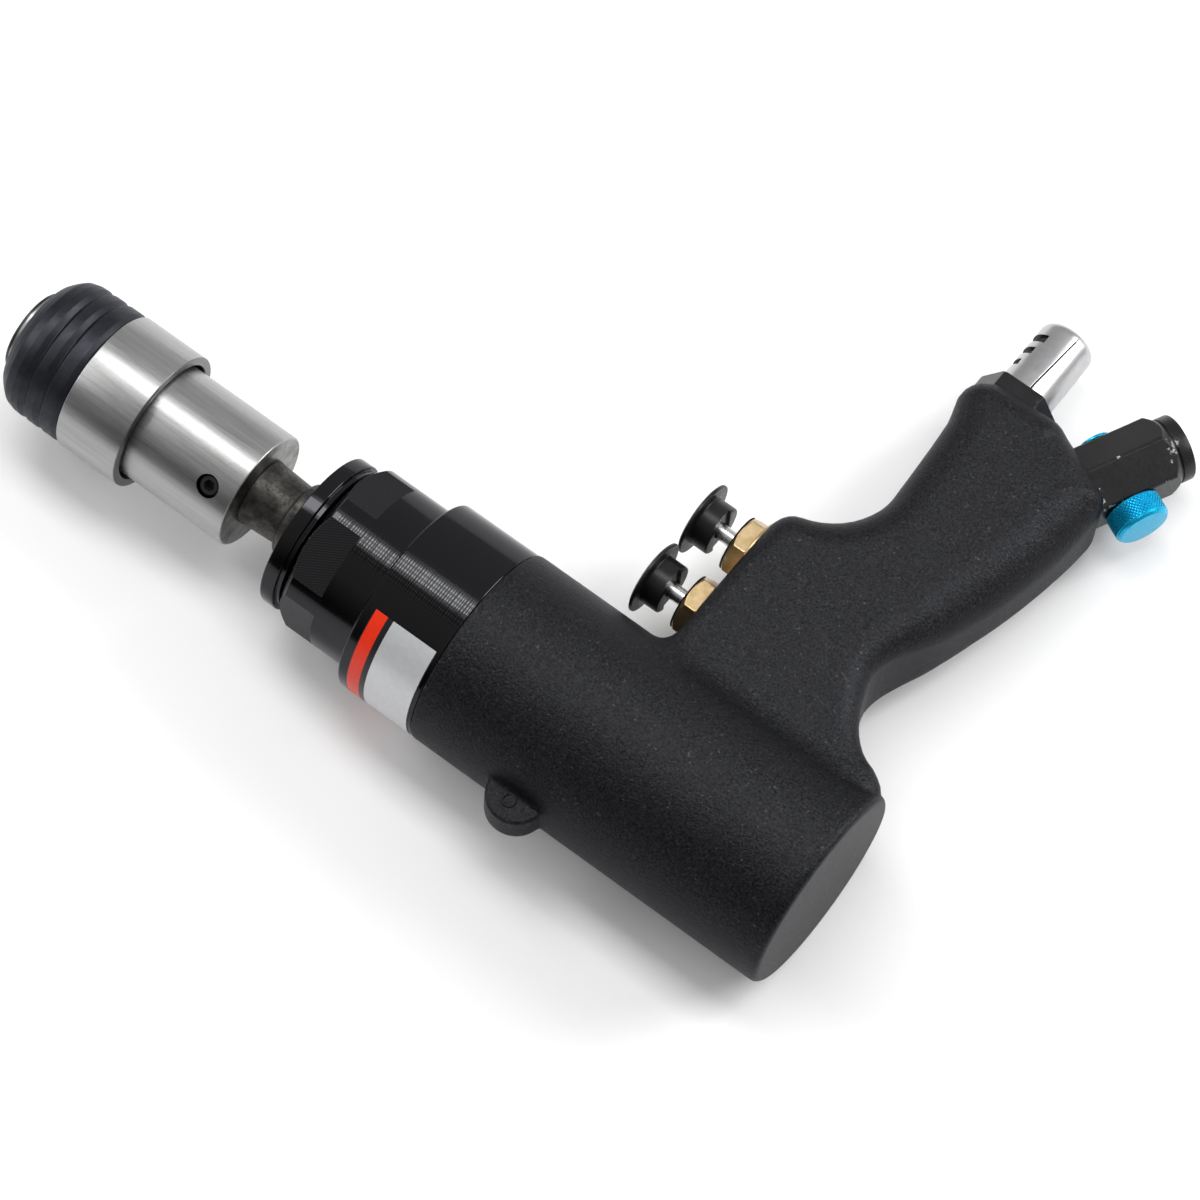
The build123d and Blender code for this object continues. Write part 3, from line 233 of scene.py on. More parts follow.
# ------------------------------------------------------------------ material helpers
class Mat:
    """Small builder of node materials."""

    def __init__(self, name):
        self.m = bpy.data.materials.new(name)
        self.m.use_nodes = True
        self.nt = self.m.node_tree
        self.bsdf = next(n for n in self.nt.nodes if n.type == "BSDF_PRINCIPLED")

    def node(self, kind, **kw):
        n = self.nt.nodes.new(kind)
        for k, v in kw.items():
            setattr(n, k, v)
        return n

    def link(self, a, b):
        self.nt.links.new(a, b)

    def put(self, **kw):
        for k, v in kw.items():
            s = self.bsdf.inputs[k.replace("_", " ")]
            s.default_value = v if not isinstance(v, tuple) or len(v) == 4 else (*v, 1)

    def obj(self):
        if not hasattr(self, "_co"):
            self._co = self.node("ShaderNodeTexCoord").outputs["Object"]
        return self._co

    def xyz(self):
        if not hasattr(self, "_xyz"):
            s = self.node("ShaderNodeSeparateXYZ")
            self.link(self.obj(), s.inputs[0])
            self._xyz = s.outputs
        return self._xyz

    def math(self, op, a, b=None, c=None, clamp=False):
        n = self.node("ShaderNodeMath", operation=op, use_clamp=clamp)
        for i, v in enumerate((a, b, c)):
            if v is None:
                continue
            if isinstance(v, (int, float)):
                n.inputs[i].default_value = v
            else:
                self.link(v, n.inputs[i])
        return n.outputs[0]

    def noise(self, scale, detail=2, rough=0.5, vec=None, dim="3D", w=None):
        n = self.node("ShaderNodeTexNoise", noise_dimensions=dim)
        n.inputs["Scale"].default_value = scale
        n.inputs["Detail"].default_value = detail
        n.inputs["Roughness"].default_value = rough
        if dim == "1D":
            self.link(w, n.inputs["W"])
        else:
            self.link(vec or self.obj(), n.inputs["Vector"])
        return n.outputs["Fac"]

    def ramp(self, fac, stops, interp="LINEAR"):
        n = self.node("ShaderNodeValToRGB")
        n.color_ramp.interpolation = interp
        e = n.color_ramp.elements
        while len(e) < len(stops):
            e.new(0.5)
        for el, (pos, col) in zip(e, stops):
            el.position = pos
            el.color = (*col, 1) if len(col) == 3 else col
        self.link(fac, n.inputs[0])
        return n.outputs[0]

    def span(self, fac, a, b, lo=0.0, hi=1.0):
        n = self.node("ShaderNodeMapRange")
        n.inputs["From Min"].default_value, n.inputs["From Max"].default_value = lo, hi
        n.inputs["To Min"].default_value, n.inputs["To Max"].default_value = a, b
        self.link(fac, n.inputs["Value"])
        return n.outputs[0]

    def mix(self, fac, a, b):
        n = self.node("ShaderNodeMix", data_type="RGBA")
        ins = [i for i in n.inputs if i.type == "RGBA"]
        for s, v in zip(ins, (a, b)):
            if isinstance(v, tuple):
                s.default_value = (*v, 1) if len(v) == 3 else v
            else:
                self.link(v, s)
        if isinstance(fac, (int, float)):
            n.inputs[0].default_value = fac
        else:
            self.link(fac, n.inputs[0])
        return next(o for o in n.outputs if o.type == "RGBA")

    def bump(self, height, dist, strength=1.0, normal=None):
        n = self.node("ShaderNodeBump")
        n.inputs["Strength"].default_value = strength
        n.inputs["Distance"].default_value = dist
        self.link(height, n.inputs["Height"])
        if normal is not None:
            self.link(normal, n.inputs["Normal"])
        return n.outputs[0]

    def attr(self, name):
        return self.node("ShaderNodeAttribute", attribute_name=name).outputs["Fac"]

    def to(self, sock, out):
        self.link(out, self.bsdf.inputs[sock])

    def vec3(self, x, y, z):
        n = self.node("ShaderNodeCombineXYZ")
        for i, v in enumerate((x, y, z)):
            if isinstance(v, (int, float)):
                n.inputs[i].default_value = v
            else:
                self.link(v, n.inputs[i])
        return n.outputs[0]

    def stretch(self, sx, sy, sz):
        n = self.node("ShaderNodeMapping")
        n.inputs["Scale"].default_value = (sx, sy, sz)
        self.link(self.obj(), n.inputs["Vector"])
        return n.outputs[0]

    def angle(self):
        """Angle about the barrel axis."""
        o = self.xyz()
        return self.math("ARCTAN2", self.math("SUBTRACT", o["Z"], AXIS_Z), self.math("SUBTRACT", o["Y"], AXIS_Y))

    def radius(self):
        o = self.xyz()
        y, z = self.math("SUBTRACT", o["Y"], AXIS_Y), self.math("SUBTRACT", o["Z"], AXIS_Z)
        return self.math("SQRT", self.math("ADD", self.math("MULTIPLY", y, y), self.math("MULTIPLY", z, z)))


def coat_material():
    """Cast housing under a fine-grained matte black coat."""
    k = Mat("housing_coat")
    grain = k.noise(1750, 2, 0.6)
    fine = k.noise(3900, 1, 0.5)
    broad = k.noise(55, 3, 0.5)
    speck = k.noise(1250, 2, 0.5)
    # the rear face of the barrel gets a lighter, less metallic colour: a painted sheen for the light that face catches
    rear = k.math("LESS_THAN", k.xyz()["X"], (OX + 0.35) / 1000)
    base = k.ramp(grain, [(0.30, (0.0098, 0.0100, 0.0114)), (0.70, (0.0330, 0.0335, 0.0368))])
    tint = k.mix(k.span(broad, 0.0, 0.2, 0.3, 0.75), base, (0.0218, 0.0222, 0.0245))
    bright = k.mix(k.span(speck, 0.0, 0.8, 0.64, 0.76), tint, (0.070, 0.070, 0.074))
    k.to("Base Color", k.mix(k.math("MULTIPLY", rear, 0.12), bright, k.mix(grain, (0.050, 0.050, 0.052), (0.115, 0.115, 0.117))))
    k.to("Metallic", k.math("SUBTRACT", 0.85, k.math("MULTIPLY", rear, 0.30)))
    k.to("Roughness", k.span(grain, 0.35, 0.51, 0.3, 0.7))
    k.put(Specular_IOR_Level=0.20, Specular_Tint=(0.69, 0.69, 0.70))
    h = k.math("ADD", grain, k.math("MULTIPLY", fine, 0.45))
    k.to("Normal", k.bump(h, 0.00022, 0.9))
    return k.m


def case_material():
    """Turned and black anodised: tool lines round the axis, a milled hatch on the flats; along the top band the lines
    are painted bright and dark as a highlight.
    """
    k = Mat("case_black")
    o = k.xyz()
    ang = k.angle()
    jit = k.noise(420, 1, 0.5, dim="1D", w=o["X"])
    wave = k.math("SINE", k.math("ADD", k.math("MULTIPLY", o["X"], 2 * math.pi / 0.00066), k.math("MULTIPLY", jit, 5.0)))
    lines = k.math("ADD", k.math("MULTIPLY", wave, 0.26), k.noise(1500, 1, 0.6, dim="1D", w=o["X"]))
    chat = k.noise(30, 1, 0.35, dim="1D", w=ang)
    flat = k.attr("flat")
    along, over = k.attr("fu"), k.attr("fv")
    hatch = k.math("SINE", k.math("ADD", k.math("MULTIPLY", along, 5.2), k.math("MULTIPLY", over, 9.4)))
    hatch = k.math("ADD", hatch, k.math("MULTIPLY", k.noise(1800, 2, 0.6), 0.9))
    body = k.math("SUBTRACT", 1.0, flat)
    deg = k.math("MULTIPLY", ang, 180 / math.pi)
    # the band along the top where the strip light reflects: brighter lands and darker grooves painted there are a
    # painted highlight, the rest is even
    highlight_band = k.math("MULTIPLY", k.span(deg, 0.0, 1.0, 74, 78), k.span(deg, 1.0, 0.0, 91, 96))
    highlight_band = k.math("MULTIPLY", k.math("MULTIPLY", highlight_band, body), k.math("LESS_THAN", o["X"], (OX + 134.5) / 1000))
    rows = k.span(k.math("SINE", k.math("MULTIPLY", deg, 2 * math.pi / 2.7)), 0.35, 1.0, -0.8, 0.8)
    land = k.math("MULTIPLY", k.span(lines, 0.0, 1.0, 0.40, 0.60), rows)
    k.to("Base Color", k.mix(highlight_band, (0.0330, 0.0333, 0.0354), k.mix(land, (0.0120, 0.0121, 0.0129), (0.0550, 0.0554, 0.0584))))
    k.put(Metallic=1.0, Specular_Tint=(0.72, 0.72, 0.73))
    rough = k.math("ADD", 0.12, k.math("MULTIPLY", highlight_band, k.span(land, 0.06, -0.03)))
    k.to("Roughness", k.math("ADD", k.math("MULTIPLY", rough, body), k.math("MULTIPLY", flat, 0.33)))
    h1 = k.math("MULTIPLY", k.math("MULTIPLY", lines, 0.000003), body)
    h2 = k.math("MULTIPLY", k.math("MULTIPLY", chat, 0.000010), body)
    h3 = k.math("MULTIPLY", k.math("MULTIPLY", hatch, 0.000008), flat)
    k.to("Normal", k.bump(k.math("ADD", k.math("ADD", h1, h2), h3), 1.0, 1.0))
    return k.m


def label_material():
    """Blank satin foil: a red band, a dark gap and a pale field."""
    k = Mat("label_foil")
    x = k.math("SUBTRACT", k.math("MULTIPLY", k.xyz()["X"], 1000.0), OX)
    red = k.math("MULTIPLY", k.math("GREATER_THAN", x, 110.85), k.math("LESS_THAN", x, 114.15))
    pale = k.math("MULTIPLY", k.math("GREATER_THAN", x, 97.35), k.math("LESS_THAN", x, 109.35))
    grain = k.noise(900, 2, 0.5)
    c = k.mix(pale, (0.012, 0.012, 0.013), k.mix(grain, (0.57, 0.575, 0.595), (0.66, 0.665, 0.685)))
    c = k.mix(red, c, k.mix(grain, (0.76, 0.026, 0.006), (0.86, 0.036, 0.008)))
    k.to("Base Color", c)
    k.to("Roughness", k.span(grain, 0.30, 0.42))
    k.to("Metallic", k.math("MULTIPLY", pale, 0.35))
    k.put(Specular_IOR_Level=0.3)
    k.to("Normal", k.bump(k.noise(420, 2, 0.5), 0.00004, 0.35))
    return k.m


def steel_material(name, dark, light, rough, streak_scale=2600, streak=0.0000022, mott=0.06, aniso=0.0, spots=None):
    """Turned or ground steel with lines round the axis and soft mottling."""
    k = Mat(name)
    o = k.xyz()
    lines = k.noise(streak_scale, 3, 0.7, dim="1D", w=o["X"])
    cloud = k.noise(130, 3, 0.55, vec=k.stretch(0.5, 1, 1))
    fine = k.noise(1700, 2, 0.6)
    col = k.mix(k.span(cloud, 0, 1, 0.28, 0.72), dark, light)
    if spots:
        col = k.mix(k.span(k.noise(260, 4, 0.65), 0, 1, 0.55, 0.75), col, spots)
    k.to("Base Color", col)
    k.put(Metallic=1.0)
    r = k.math("ADD", k.span(lines, rough - mott, rough + mott, 0.3, 0.7), k.math("MULTIPLY", k.math("SUBTRACT", fine, 0.5), mott))
    k.to("Roughness", r)
    if aniso:
        k.put(Anisotropic=aniso, Anisotropic_Rotation=0.25)
        t = k.node("ShaderNodeTangent", direction_type="RADIAL", axis="X")
        k.link(t.outputs[0], k.bsdf.inputs["Tangent"])
    h = k.math("ADD", k.math("MULTIPLY", lines, streak), k.math("MULTIPLY", fine, streak * 1.6))
    k.to("Normal", k.bump(h, 1.0, 1.0))
    return k.m


def chuck_material():
    """Ground steel, satin, with faint streaks along the axis and a fine mottle."""
    k = Mat("chuck_steel")
    o = k.xyz()
    ang = k.angle()
    streak = k.noise(1.0, 3, 0.6, vec=k.vec3(k.math("MULTIPLY", o["X"], 26.0), k.math("MULTIPLY", ang, 9.0), 0.0))
    thin = k.noise(1.0, 2, 0.6, vec=k.vec3(k.math("MULTIPLY", o["X"], 60.0), k.math("MULTIPLY", ang, 46.0), 3.0))
    fine = k.noise(1900, 2, 0.65)
    turn = k.noise(3000, 2, 0.7, dim="1D", w=o["X"])
    col = k.mix(k.span(streak, 0, 1, 0.30, 0.70), (0.295, 0.295, 0.293), (0.385, 0.385, 0.383))
    col = k.mix(k.span(thin, 0, 0.5, 0.35, 0.75), col, (0.44, 0.44, 0.438))
    x = k.math("SUBTRACT", k.math("MULTIPLY", o["X"], 1000.0), OX)
    # painted shade: the chuck's rear disc round the spindle is painted darker, in blotches
    back = k.math("MULTIPLY", k.math("LESS_THAN", x, 159.2), k.math("LESS_THAN", k.radius(), 0.01435))
    # painted shade: the float sleeve's rear end face is painted dark grey
    step = k.math("MULTIPLY", k.math("GREATER_THAN", x, 187.2), k.math("MULTIPLY", k.math("LESS_THAN", x, 187.62), k.math("GREATER_THAN", k.radius(), 0.0150)))
    rear_disc_shade_noise = k.noise(190, 3, 0.6)
    col = k.mix(back, col, k.mix(k.span(rear_disc_shade_noise, 0, 1, 0.35, 0.68), (0.07, 0.067, 0.063), (0.30, 0.30, 0.295)))
    col = k.mix(step, col, (0.15, 0.15, 0.15))
    # painted shade: the walls of the set-screw hole are painted near black
    deep = k.math("MULTIPLY", k.math("LESS_THAN", k.math("ABSOLUTE", k.math("SUBTRACT", x, 165.7)), 3.2), k.math("LESS_THAN", k.radius(), 0.01452))
    col = k.mix(deep, col, (0.012, 0.012, 0.012))
    k.to("Base Color", col)
    k.put(Metallic=1.0)
    r = k.math("ADD", k.span(thin, 0.31, 0.40, 0.3, 0.7), k.math("MULTIPLY", k.math("SUBTRACT", fine, 0.5), 0.16))
    k.to("Roughness", r)
    k.put(Anisotropic=0.30, Anisotropic_Rotation=0.25)
    t = k.node("ShaderNodeTangent", direction_type="RADIAL", axis="X")
    k.link(t.outputs[0], k.bsdf.inputs["Tangent"])
    h = k.math("ADD", k.math("MULTIPLY", fine, 0.000012), k.math("MULTIPLY", turn, 0.000003))
    k.to("Normal", k.bump(k.math("ADD", h, k.math("MULTIPLY", thin, 0.000010)), 1.0, 1.0))
    return k.m


def spindle_material():
    """Heat-darkened steel, rough and blotched."""
    k = Mat("spindle_steel")
    blot = k.noise(330, 4, 0.65)
    fine = k.noise(1500, 3, 0.65)
    col = k.mix(k.span(blot, 0, 1, 0.36, 0.66), (0.034, 0.032, 0.030), (0.100, 0.096, 0.090))
    col = k.mix(k.span(fine, 0, 0.8, 0.55, 0.75), col, (0.022, 0.019, 0.016))
    k.to("Base Color", col)
    k.put(Metallic=1.0)
    k.to("Roughness", k.span(fine, 0.36, 0.58, 0.3, 0.7))
    k.to("Normal", k.bump(fine, 0.00007, 1.0))
    return k.m


def sleeve_material():
    """Blackened steel with faint winding polish marks."""
    k = Mat("sleeve_black")
    cloud = k.noise(240, 3, 0.6)
    fine = k.noise(2400, 2, 0.6)
    wind = k.noise(1.0, 2, 0.55, dim="1D", w=k.math("ADD", k.math("MULTIPLY", k.angle(), 5.0), k.math("MULTIPLY", k.xyz()["X"], 620.0)))
    k.to("Base Color", k.mix(k.span(cloud, 0, 1, 0.3, 0.7), (0.0265, 0.0280, 0.0330), (0.0400, 0.0422, 0.0490)))
    r = k.math("ADD", k.span(wind, 0.39, 0.45, 0.35, 0.65), k.math("MULTIPLY", k.math("SUBTRACT", fine, 0.5), 0.10))
    k.to("Roughness", r)
    k.put(Metallic=0.9, Specular_IOR_Level=0.3, Specular_Tint=(0.76, 0.76, 0.78))
    k.to("Normal", k.bump(k.math("MULTIPLY", fine, 0.000007), 1.0, 1.0))
    return k.m


def silencer_material():
    """Bright drawn tube; the seam is painted as a dark joint and the sawn slots are painted dark as shade."""
    k = Mat("silencer_alu")
    o = k.xyz()
    x = k.math("SUBTRACT", k.math("MULTIPLY", o["X"], 1000.0), OX + 35.5)
    y, z = k.math("SUBTRACT", k.math("MULTIPLY", o["Y"], 1000.0), OY), k.math("SUBTRACT", k.math("MULTIPLY", o["Z"], 1000.0), OZ)
    h = k.math("SUBTRACT", k.math("MULTIPLY", z, CL), k.math("MULTIPLY", y, SL))
    r = k.math("SQRT", k.math("ADD", k.math("MULTIPLY", x, x), k.math("MULTIPLY", h, h)))
    # the seam's groove and the walls and inside seen through the sawn slots are painted near black: a dark joint along
    # the seam, painted shade in the slots
    deep = k.math("MULTIPLY", k.math("LESS_THAN", r, 6.99), k.math("GREATER_THAN", y, -145.0))
    cloud = k.noise(260, 3, 0.6)
    fine = k.noise(1800, 2, 0.6)
    col = k.mix(k.span(cloud, 0, 1, 0.3, 0.7), (0.44, 0.44, 0.45), (0.52, 0.52, 0.525))
    k.to("Base Color", k.mix(deep, col, (0.045, 0.045, 0.045)))
    k.put(Metallic=1.0)
    k.to("Roughness", k.span(fine, 0.28, 0.34, 0.3, 0.7))
    k.to("Normal", k.bump(k.math("MULTIPLY", cloud, 0.000012), 1.0, 1.0))
    return k.m


def brass_material():
    k = Mat("gland_brass")
    cloud = k.noise(420, 3, 0.6)
    fine = k.noise(1500, 2, 0.5)
    k.to("Base Color", k.mix(k.span(cloud, 0, 1, 0.3, 0.7), (0.42, 0.30, 0.145), (0.62, 0.47, 0.28)))
    k.put(Metallic=1.0)
    k.to("Roughness", k.span(fine, 0.32, 0.42, 0.3, 0.7))
    k.to("Normal", k.bump(fine, 0.000014, 1.0))
    return k.m


def plastic_material(name, dark, light, r0, r1, bump=0.00001, spec=0.5, scale=1200):
    k = Mat(name)
    cloud = k.noise(180, 2, 0.5)
    fine = k.noise(scale, 3, 0.6)
    k.to("Base Color", k.mix(k.span(cloud, 0, 1, 0.3, 0.7), dark, light))
    k.to("Roughness", k.span(fine, r0, r1, 0.3, 0.7))
    k.put(Specular_IOR_Level=spec)
    k.to("Normal", k.bump(fine, bump, 1.0))
    return k.m


def fitting_material():
    """Black finish with bright metal showing where corners are chipped."""
    k = Mat("fitting_black")
    wear = k.attr("wear")
    n1, n2 = k.noise(620, 3, 0.6), k.noise(170, 2, 0.5)
    score = k.math("ADD", k.math("MULTIPLY", n1, 0.75), k.math("MULTIPLY", n2, 0.55))
    chip = k.math("MULTIPLY", k.span(score, 0.0, 1.0, 0.75, 0.80), k.span(wear, 0.0, 1.0, 0.30, 0.60))
    chip = k.math("MINIMUM", chip, 1.0)
    fine = k.noise(1900, 2, 0.6)
    base = k.mix(k.span(n2, 0, 1, 0.3, 0.7), (0.0040, 0.0040, 0.0050), (0.0070, 0.0070, 0.0082))
    k.to("Base Color", k.mix(chip, base, (0.46, 0.45, 0.43)))
    k.to("Metallic", chip)
    k.to("Roughness", k.span(fine, 0.28, 0.42, 0.3, 0.7))
    k.put(Specular_IOR_Level=0.32)
    h = k.math("SUBTRACT", k.math("MULTIPLY", fine, 0.000006), k.math("MULTIPLY", chip, 0.00004))
    k.to("Normal", k.bump(h, 1.0, 1.0))
    return k.m


def knob_material():
    k = Mat("knob_blue")
    cloud = k.noise(350, 3, 0.6)
    fine = k.noise(2600, 2, 0.6)
    k.to("Base Color", k.mix(k.span(cloud, 0, 1, 0.3, 0.7), (0.002, 0.35, 0.60), (0.006, 0.42, 0.66)))
    k.put(Metallic=0.75)
    k.to("Roughness", k.span(fine, 0.24, 0.38, 0.3, 0.7))
    k.to("Normal", k.bump(fine, 0.000008, 1.0))
    return k.m


MAT = {
    "housing_coat": coat_material(),
    "case_black": case_material(),
    "label_foil": label_material(),
    "chuck_steel": chuck_material(),
    "spindle_steel": spindle_material(),
    "bright_steel": steel_material("bright_steel", (0.68, 0.68, 0.68), (0.78, 0.78, 0.77), 0.27, mott=0.05),
    "gear_steel": steel_material("gear_steel", (0.36, 0.36, 0.37), (0.46, 0.46, 0.47), 0.34),
    "motor_iron": steel_material("motor_iron", (0.25, 0.25, 0.26), (0.34, 0.34, 0.35), 0.42),
    "spring_steel": steel_material("spring_steel", (0.42, 0.42, 0.43), (0.55, 0.55, 0.56), 0.3),
    "black_oxide": plastic_material("black_oxide", (0.010, 0.010, 0.011), (0.018, 0.018, 0.019), 0.26, 0.40, 0.000005),
    "sleeve_black": sleeve_material(),
    "gland_brass": brass_material(),
    "button_plastic": plastic_material("button_plastic", (0.0040, 0.0042, 0.0050), (0.0065, 0.0068, 0.0078), 0.30, 0.42, 0.000005, 0.32, 900),
    "rubber_black": plastic_material("rubber_black", (0.012, 0.012, 0.012), (0.02, 0.02, 0.02), 0.55, 0.75, 0.00003, 0.35),
    "vane_composite": plastic_material("vane_composite", (0.13, 0.085, 0.05), (0.22, 0.15, 0.09), 0.45, 0.6, 0.00003, 0.4),
    "wick_felt": plastic_material("wick_felt", (0.030, 0.029, 0.028), (0.060, 0.058, 0.055), 0.8, 0.95, 0.0002, 0.2, 1600),
    "fitting_black": fitting_material(),
    "silencer_alu": silencer_material(),
    "knob_blue": knob_material(),
}
for sub in frame["record"]["subparts"]:
    ob = nodes[sub["node"]]
    ob.data.materials.clear()
    ob.data.materials.append(MAT[sub["material_slot"]])

# ------------------------------------------------------------------ motor housing: barrel, grip and lug as one casting
OUTLINE = np.array([
    (60.00, -12.00), (60.00, -60.50), (59.85, -62.00), (59.30, -64.00), (58.40, -65.60), (57.20, -66.80), (55.59, -67.65),
    (53.68, -68.48), (51.67, -69.59), (49.77, -70.96), (48.01, -72.51), (46.48, -74.26), (45.20, -76.20), (44.16, -78.24),
    (43.36, -80.35), (42.88, -82.55), (42.73, -84.78), (43.03, -91.32), (43.62, -102.20), (44.12, -108.77), (44.67, -110.98),
    (45.31, -113.14), (45.95, -115.30), (45.90, -117.38), (45.31, -119.18), (44.28, -120.80), (42.60, -122.00), (41.00, -122.75),
    (39.20, -123.00), (23.40, -123.00), (21.60, -122.80), (19.89, -122.19), (5.39, -115.12), (4.10, -113.95), (3.25, -112.10),
    (2.99, -109.94), (3.02, -107.84), (3.06, -105.68), (3.18, -103.51), (3.37, -101.34), (3.59, -99.19), (3.86, -97.04),
    (4.18, -94.89), (4.56, -92.75), (4.98, -90.61), (5.41, -88.47), (5.88, -86.34), (6.38, -84.21), (6.90, -82.09),
    (7.44, -79.97), (8.03, -77.87), (8.66, -75.77), (9.32, -73.69), (10.00, -71.61), (10.69, -69.54), (11.41, -67.48),
    (12.17, -65.43), (12.99, -63.41), (13.85, -61.40), (14.80, -59.44), (15.83, -57.51), (16.84, -55.59), (17.76, -53.64),
    (18.60, -51.64), (19.27, -49.56), (19.73, -47.40), (19.84, -45.20), (19.43, -43.04), (18.65, -40.96), (17.82, -38.92),
    (16.97, -36.90), (15.99, -34.92), (14.85, -33.02), (13.51, -31.25), (11.95, -29.65), (10.24, -28.24), (8.29, -27.18),
    (6.18, -26.42), (4.23, -25.30), (2.60, -24.10), (1.50, -22.80), (1.10, -21.40), (1.10, -12.00)])
# rounding of the grip's edge at places along that outline
EDGE = [(60, -20, 3.0), (60, -45, 4.0), (60, -60, 6.0), (57.2, -66.8, 8.0), (53.7, -68.5, 8.8), (49.8, -71, 9.3), (45.2, -76.2, 9.7),
        (42.7, -84.8, 10), (43.6, -102.2, 10), (45.3, -113.1, 9.3), (45.65, -117.4, 9.0), (42.6, -122, 9.0), (39.2, -123, 8.0),
        (23.4, -123, 7.0), (19.9, -122.2, 9.0), (5.4, -115.1, 8.0), (3.25, -112.1, 7.5), (3.06, -105.7, 9.5), (3.86, -97, 11),
        (9.3, -73.7, 11), (12.2, -65.4, 10), (14.8, -59.4, 8.5), (17.8, -53.6, 7), (19.7, -47.4, 6.2), (17, -36.9, 6),
        (11.95, -29.65, 5.5), (2.6, -24.1, 5)]


def outline_fields(h=0.25, x0=-8.0, x1=106.0, y0=-134.0, y1=40.0):
    """Signed distance to the grip's outline and the edge rounding of the nearest place on it, on a plane grid."""
    nx, ny = int((x1 - x0) / h) + 1, int((y1 - y0) / h) + 1
    X, Yg = np.meshgrid(x0 + h * np.arange(nx), y0 + h * np.arange(ny), indexing="ij")
    A, B = OUTLINE, np.roll(OUTLINE, -1, 0)
    seg = np.linalg.norm(B - A, axis=1)
    s0 = np.concatenate([[0], np.cumsum(seg)[:-1]])
    total = seg.sum()
    ctl = []
    for ex, ey, er in EDGE:
        i = np.argmin(np.hypot(A[:, 0] - ex, A[:, 1] - ey)) if not (ex == 60) else 0
        ctl.append((s0[i] if ex != 60 else -12 - ey, er))
    ctl.sort()
    cs, cr = np.array([c[0] for c in ctl]), np.array([c[1] for c in ctl])
    d = np.full(X.shape, 1e9)
    rho = np.zeros(X.shape)
    inside = np.zeros(X.shape, bool)
    for i in range(len(A)):
        (ax, ay), (bx, by) = A[i], B[i]
        ex, ey = bx - ax, by - ay
        t = np.clip(((X - ax) * ex + (Yg - ay) * ey) / (ex * ex + ey * ey), 0, 1)
        dd = np.hypot(X - ax - ex * t, Yg - ay - ey * t)
        near = dd < d
        d = np.where(near, dd, d)
        rho = np.where(near, np.interp(s0[i] + seg[i] * t, cs, cr, period=total), rho)
        if by != ay:
            c = (ay > Yg) != (by > Yg)
            inside ^= c & (X < ax + (Yg - ay) / (by - ay) * ex)
    return np.where(inside, -d, d), rho, (x0, y0, h, nx, ny)


def look_up(F, g, x, y):
    x0, y0, h, nx, ny = g
    u, v = np.clip((x - x0) / h, 0, nx - 1.001), np.clip((y - y0) / h, 0, ny - 1.001)
    i, j = u.astype(int), v.astype(int)
    fu, fv = u - i, v - j
    return (F[i, j] * (1 - fu) + F[i + 1, j] * fu) * (1 - fv) + (F[i, j + 1] * (1 - fu) + F[i + 1, j + 1] * fu) * fv


OUT_D, OUT_R, OUT_G = outline_fields()


def smin(a, b, k):
    h = np.maximum(k - np.abs(a - b), 0) / k
    return np.minimum(a, b) - h * h * k * 0.25


def cyl(x, y, z, o, a, r, t0, t1):
    """Signed distance to a plain cylinder from t0 to t1 along a."""
    dx, dy, dz = x - o[0], y - o[1], z - o[2]
    t = dx * a[0] + dy * a[1] + dz * a[2]
    rad = np.sqrt(np.maximum(dx * dx + dy * dy + dz * dz - t * t, 0))
    q0, q1 = rad - r, np.abs(t - (t0 + t1) / 2) - (t1 - t0) / 2
    return np.minimum(np.maximum(q0, q1), 0) + np.hypot(np.maximum(q0, 0), np.maximum(q1, 0))


def housing(x, y, z):
    rad = np.hypot(y, z)
    R = np.where(x < 48, 1.7, 0.35)
    q0, q1 = np.abs(x - 48) - 48 + R, rad - 24.995 + R
    barrel = np.minimum(np.maximum(q0, q1), 0) + np.hypot(np.maximum(q0, 0), np.maximum(q1, 0)) - R
    d2, rho = look_up(OUT_D, OUT_G, x, y), look_up(OUT_R, OUT_G, x, y)
    q0, q1 = d2 + rho, np.abs(z) - 15.5 + rho
    grip = np.minimum(np.maximum(q0, q1), 0) + np.hypot(np.maximum(q0, 0), np.maximum(q1, 0)) - rho
    k = np.interp(x, [3.0, 12, 50, 59], [0.4, 3.2, 3.0, 5.5])
    body = smin(barrel, grip, k)
    rl = np.hypot(x - 66.5, y - 24.4)
    q0, q1 = rl - 7.2 + 0.7, np.abs(z) - 4.0 + 0.7
    lug = np.minimum(np.maximum(q0, q1), 0) + np.hypot(np.maximum(q0, 0), np.maximum(q1, 0)) - 0.7
    body = smin(body, lug, 1.6)
    body = np.maximum(body, -cyl(x, y, z, (0, 0, 0), (1, 0, 0), 21.5, 6, 110))
    for vy in (-38.5, -57.3):
        body = np.maximum(body, -cyl(x, y, z, (0, vy, 0), (1, 0, 0), 5.0, 35, 70))
    body = np.maximum(body, -cyl(x, y, z, tuple(IN0), tuple(DIR_D), 6.45, -13, 4))
    body = np.maximum(body, -cyl(x, y, z, (35.5, 0, 0), (0, -1, 0), 6.65, 110, 127))
    return body


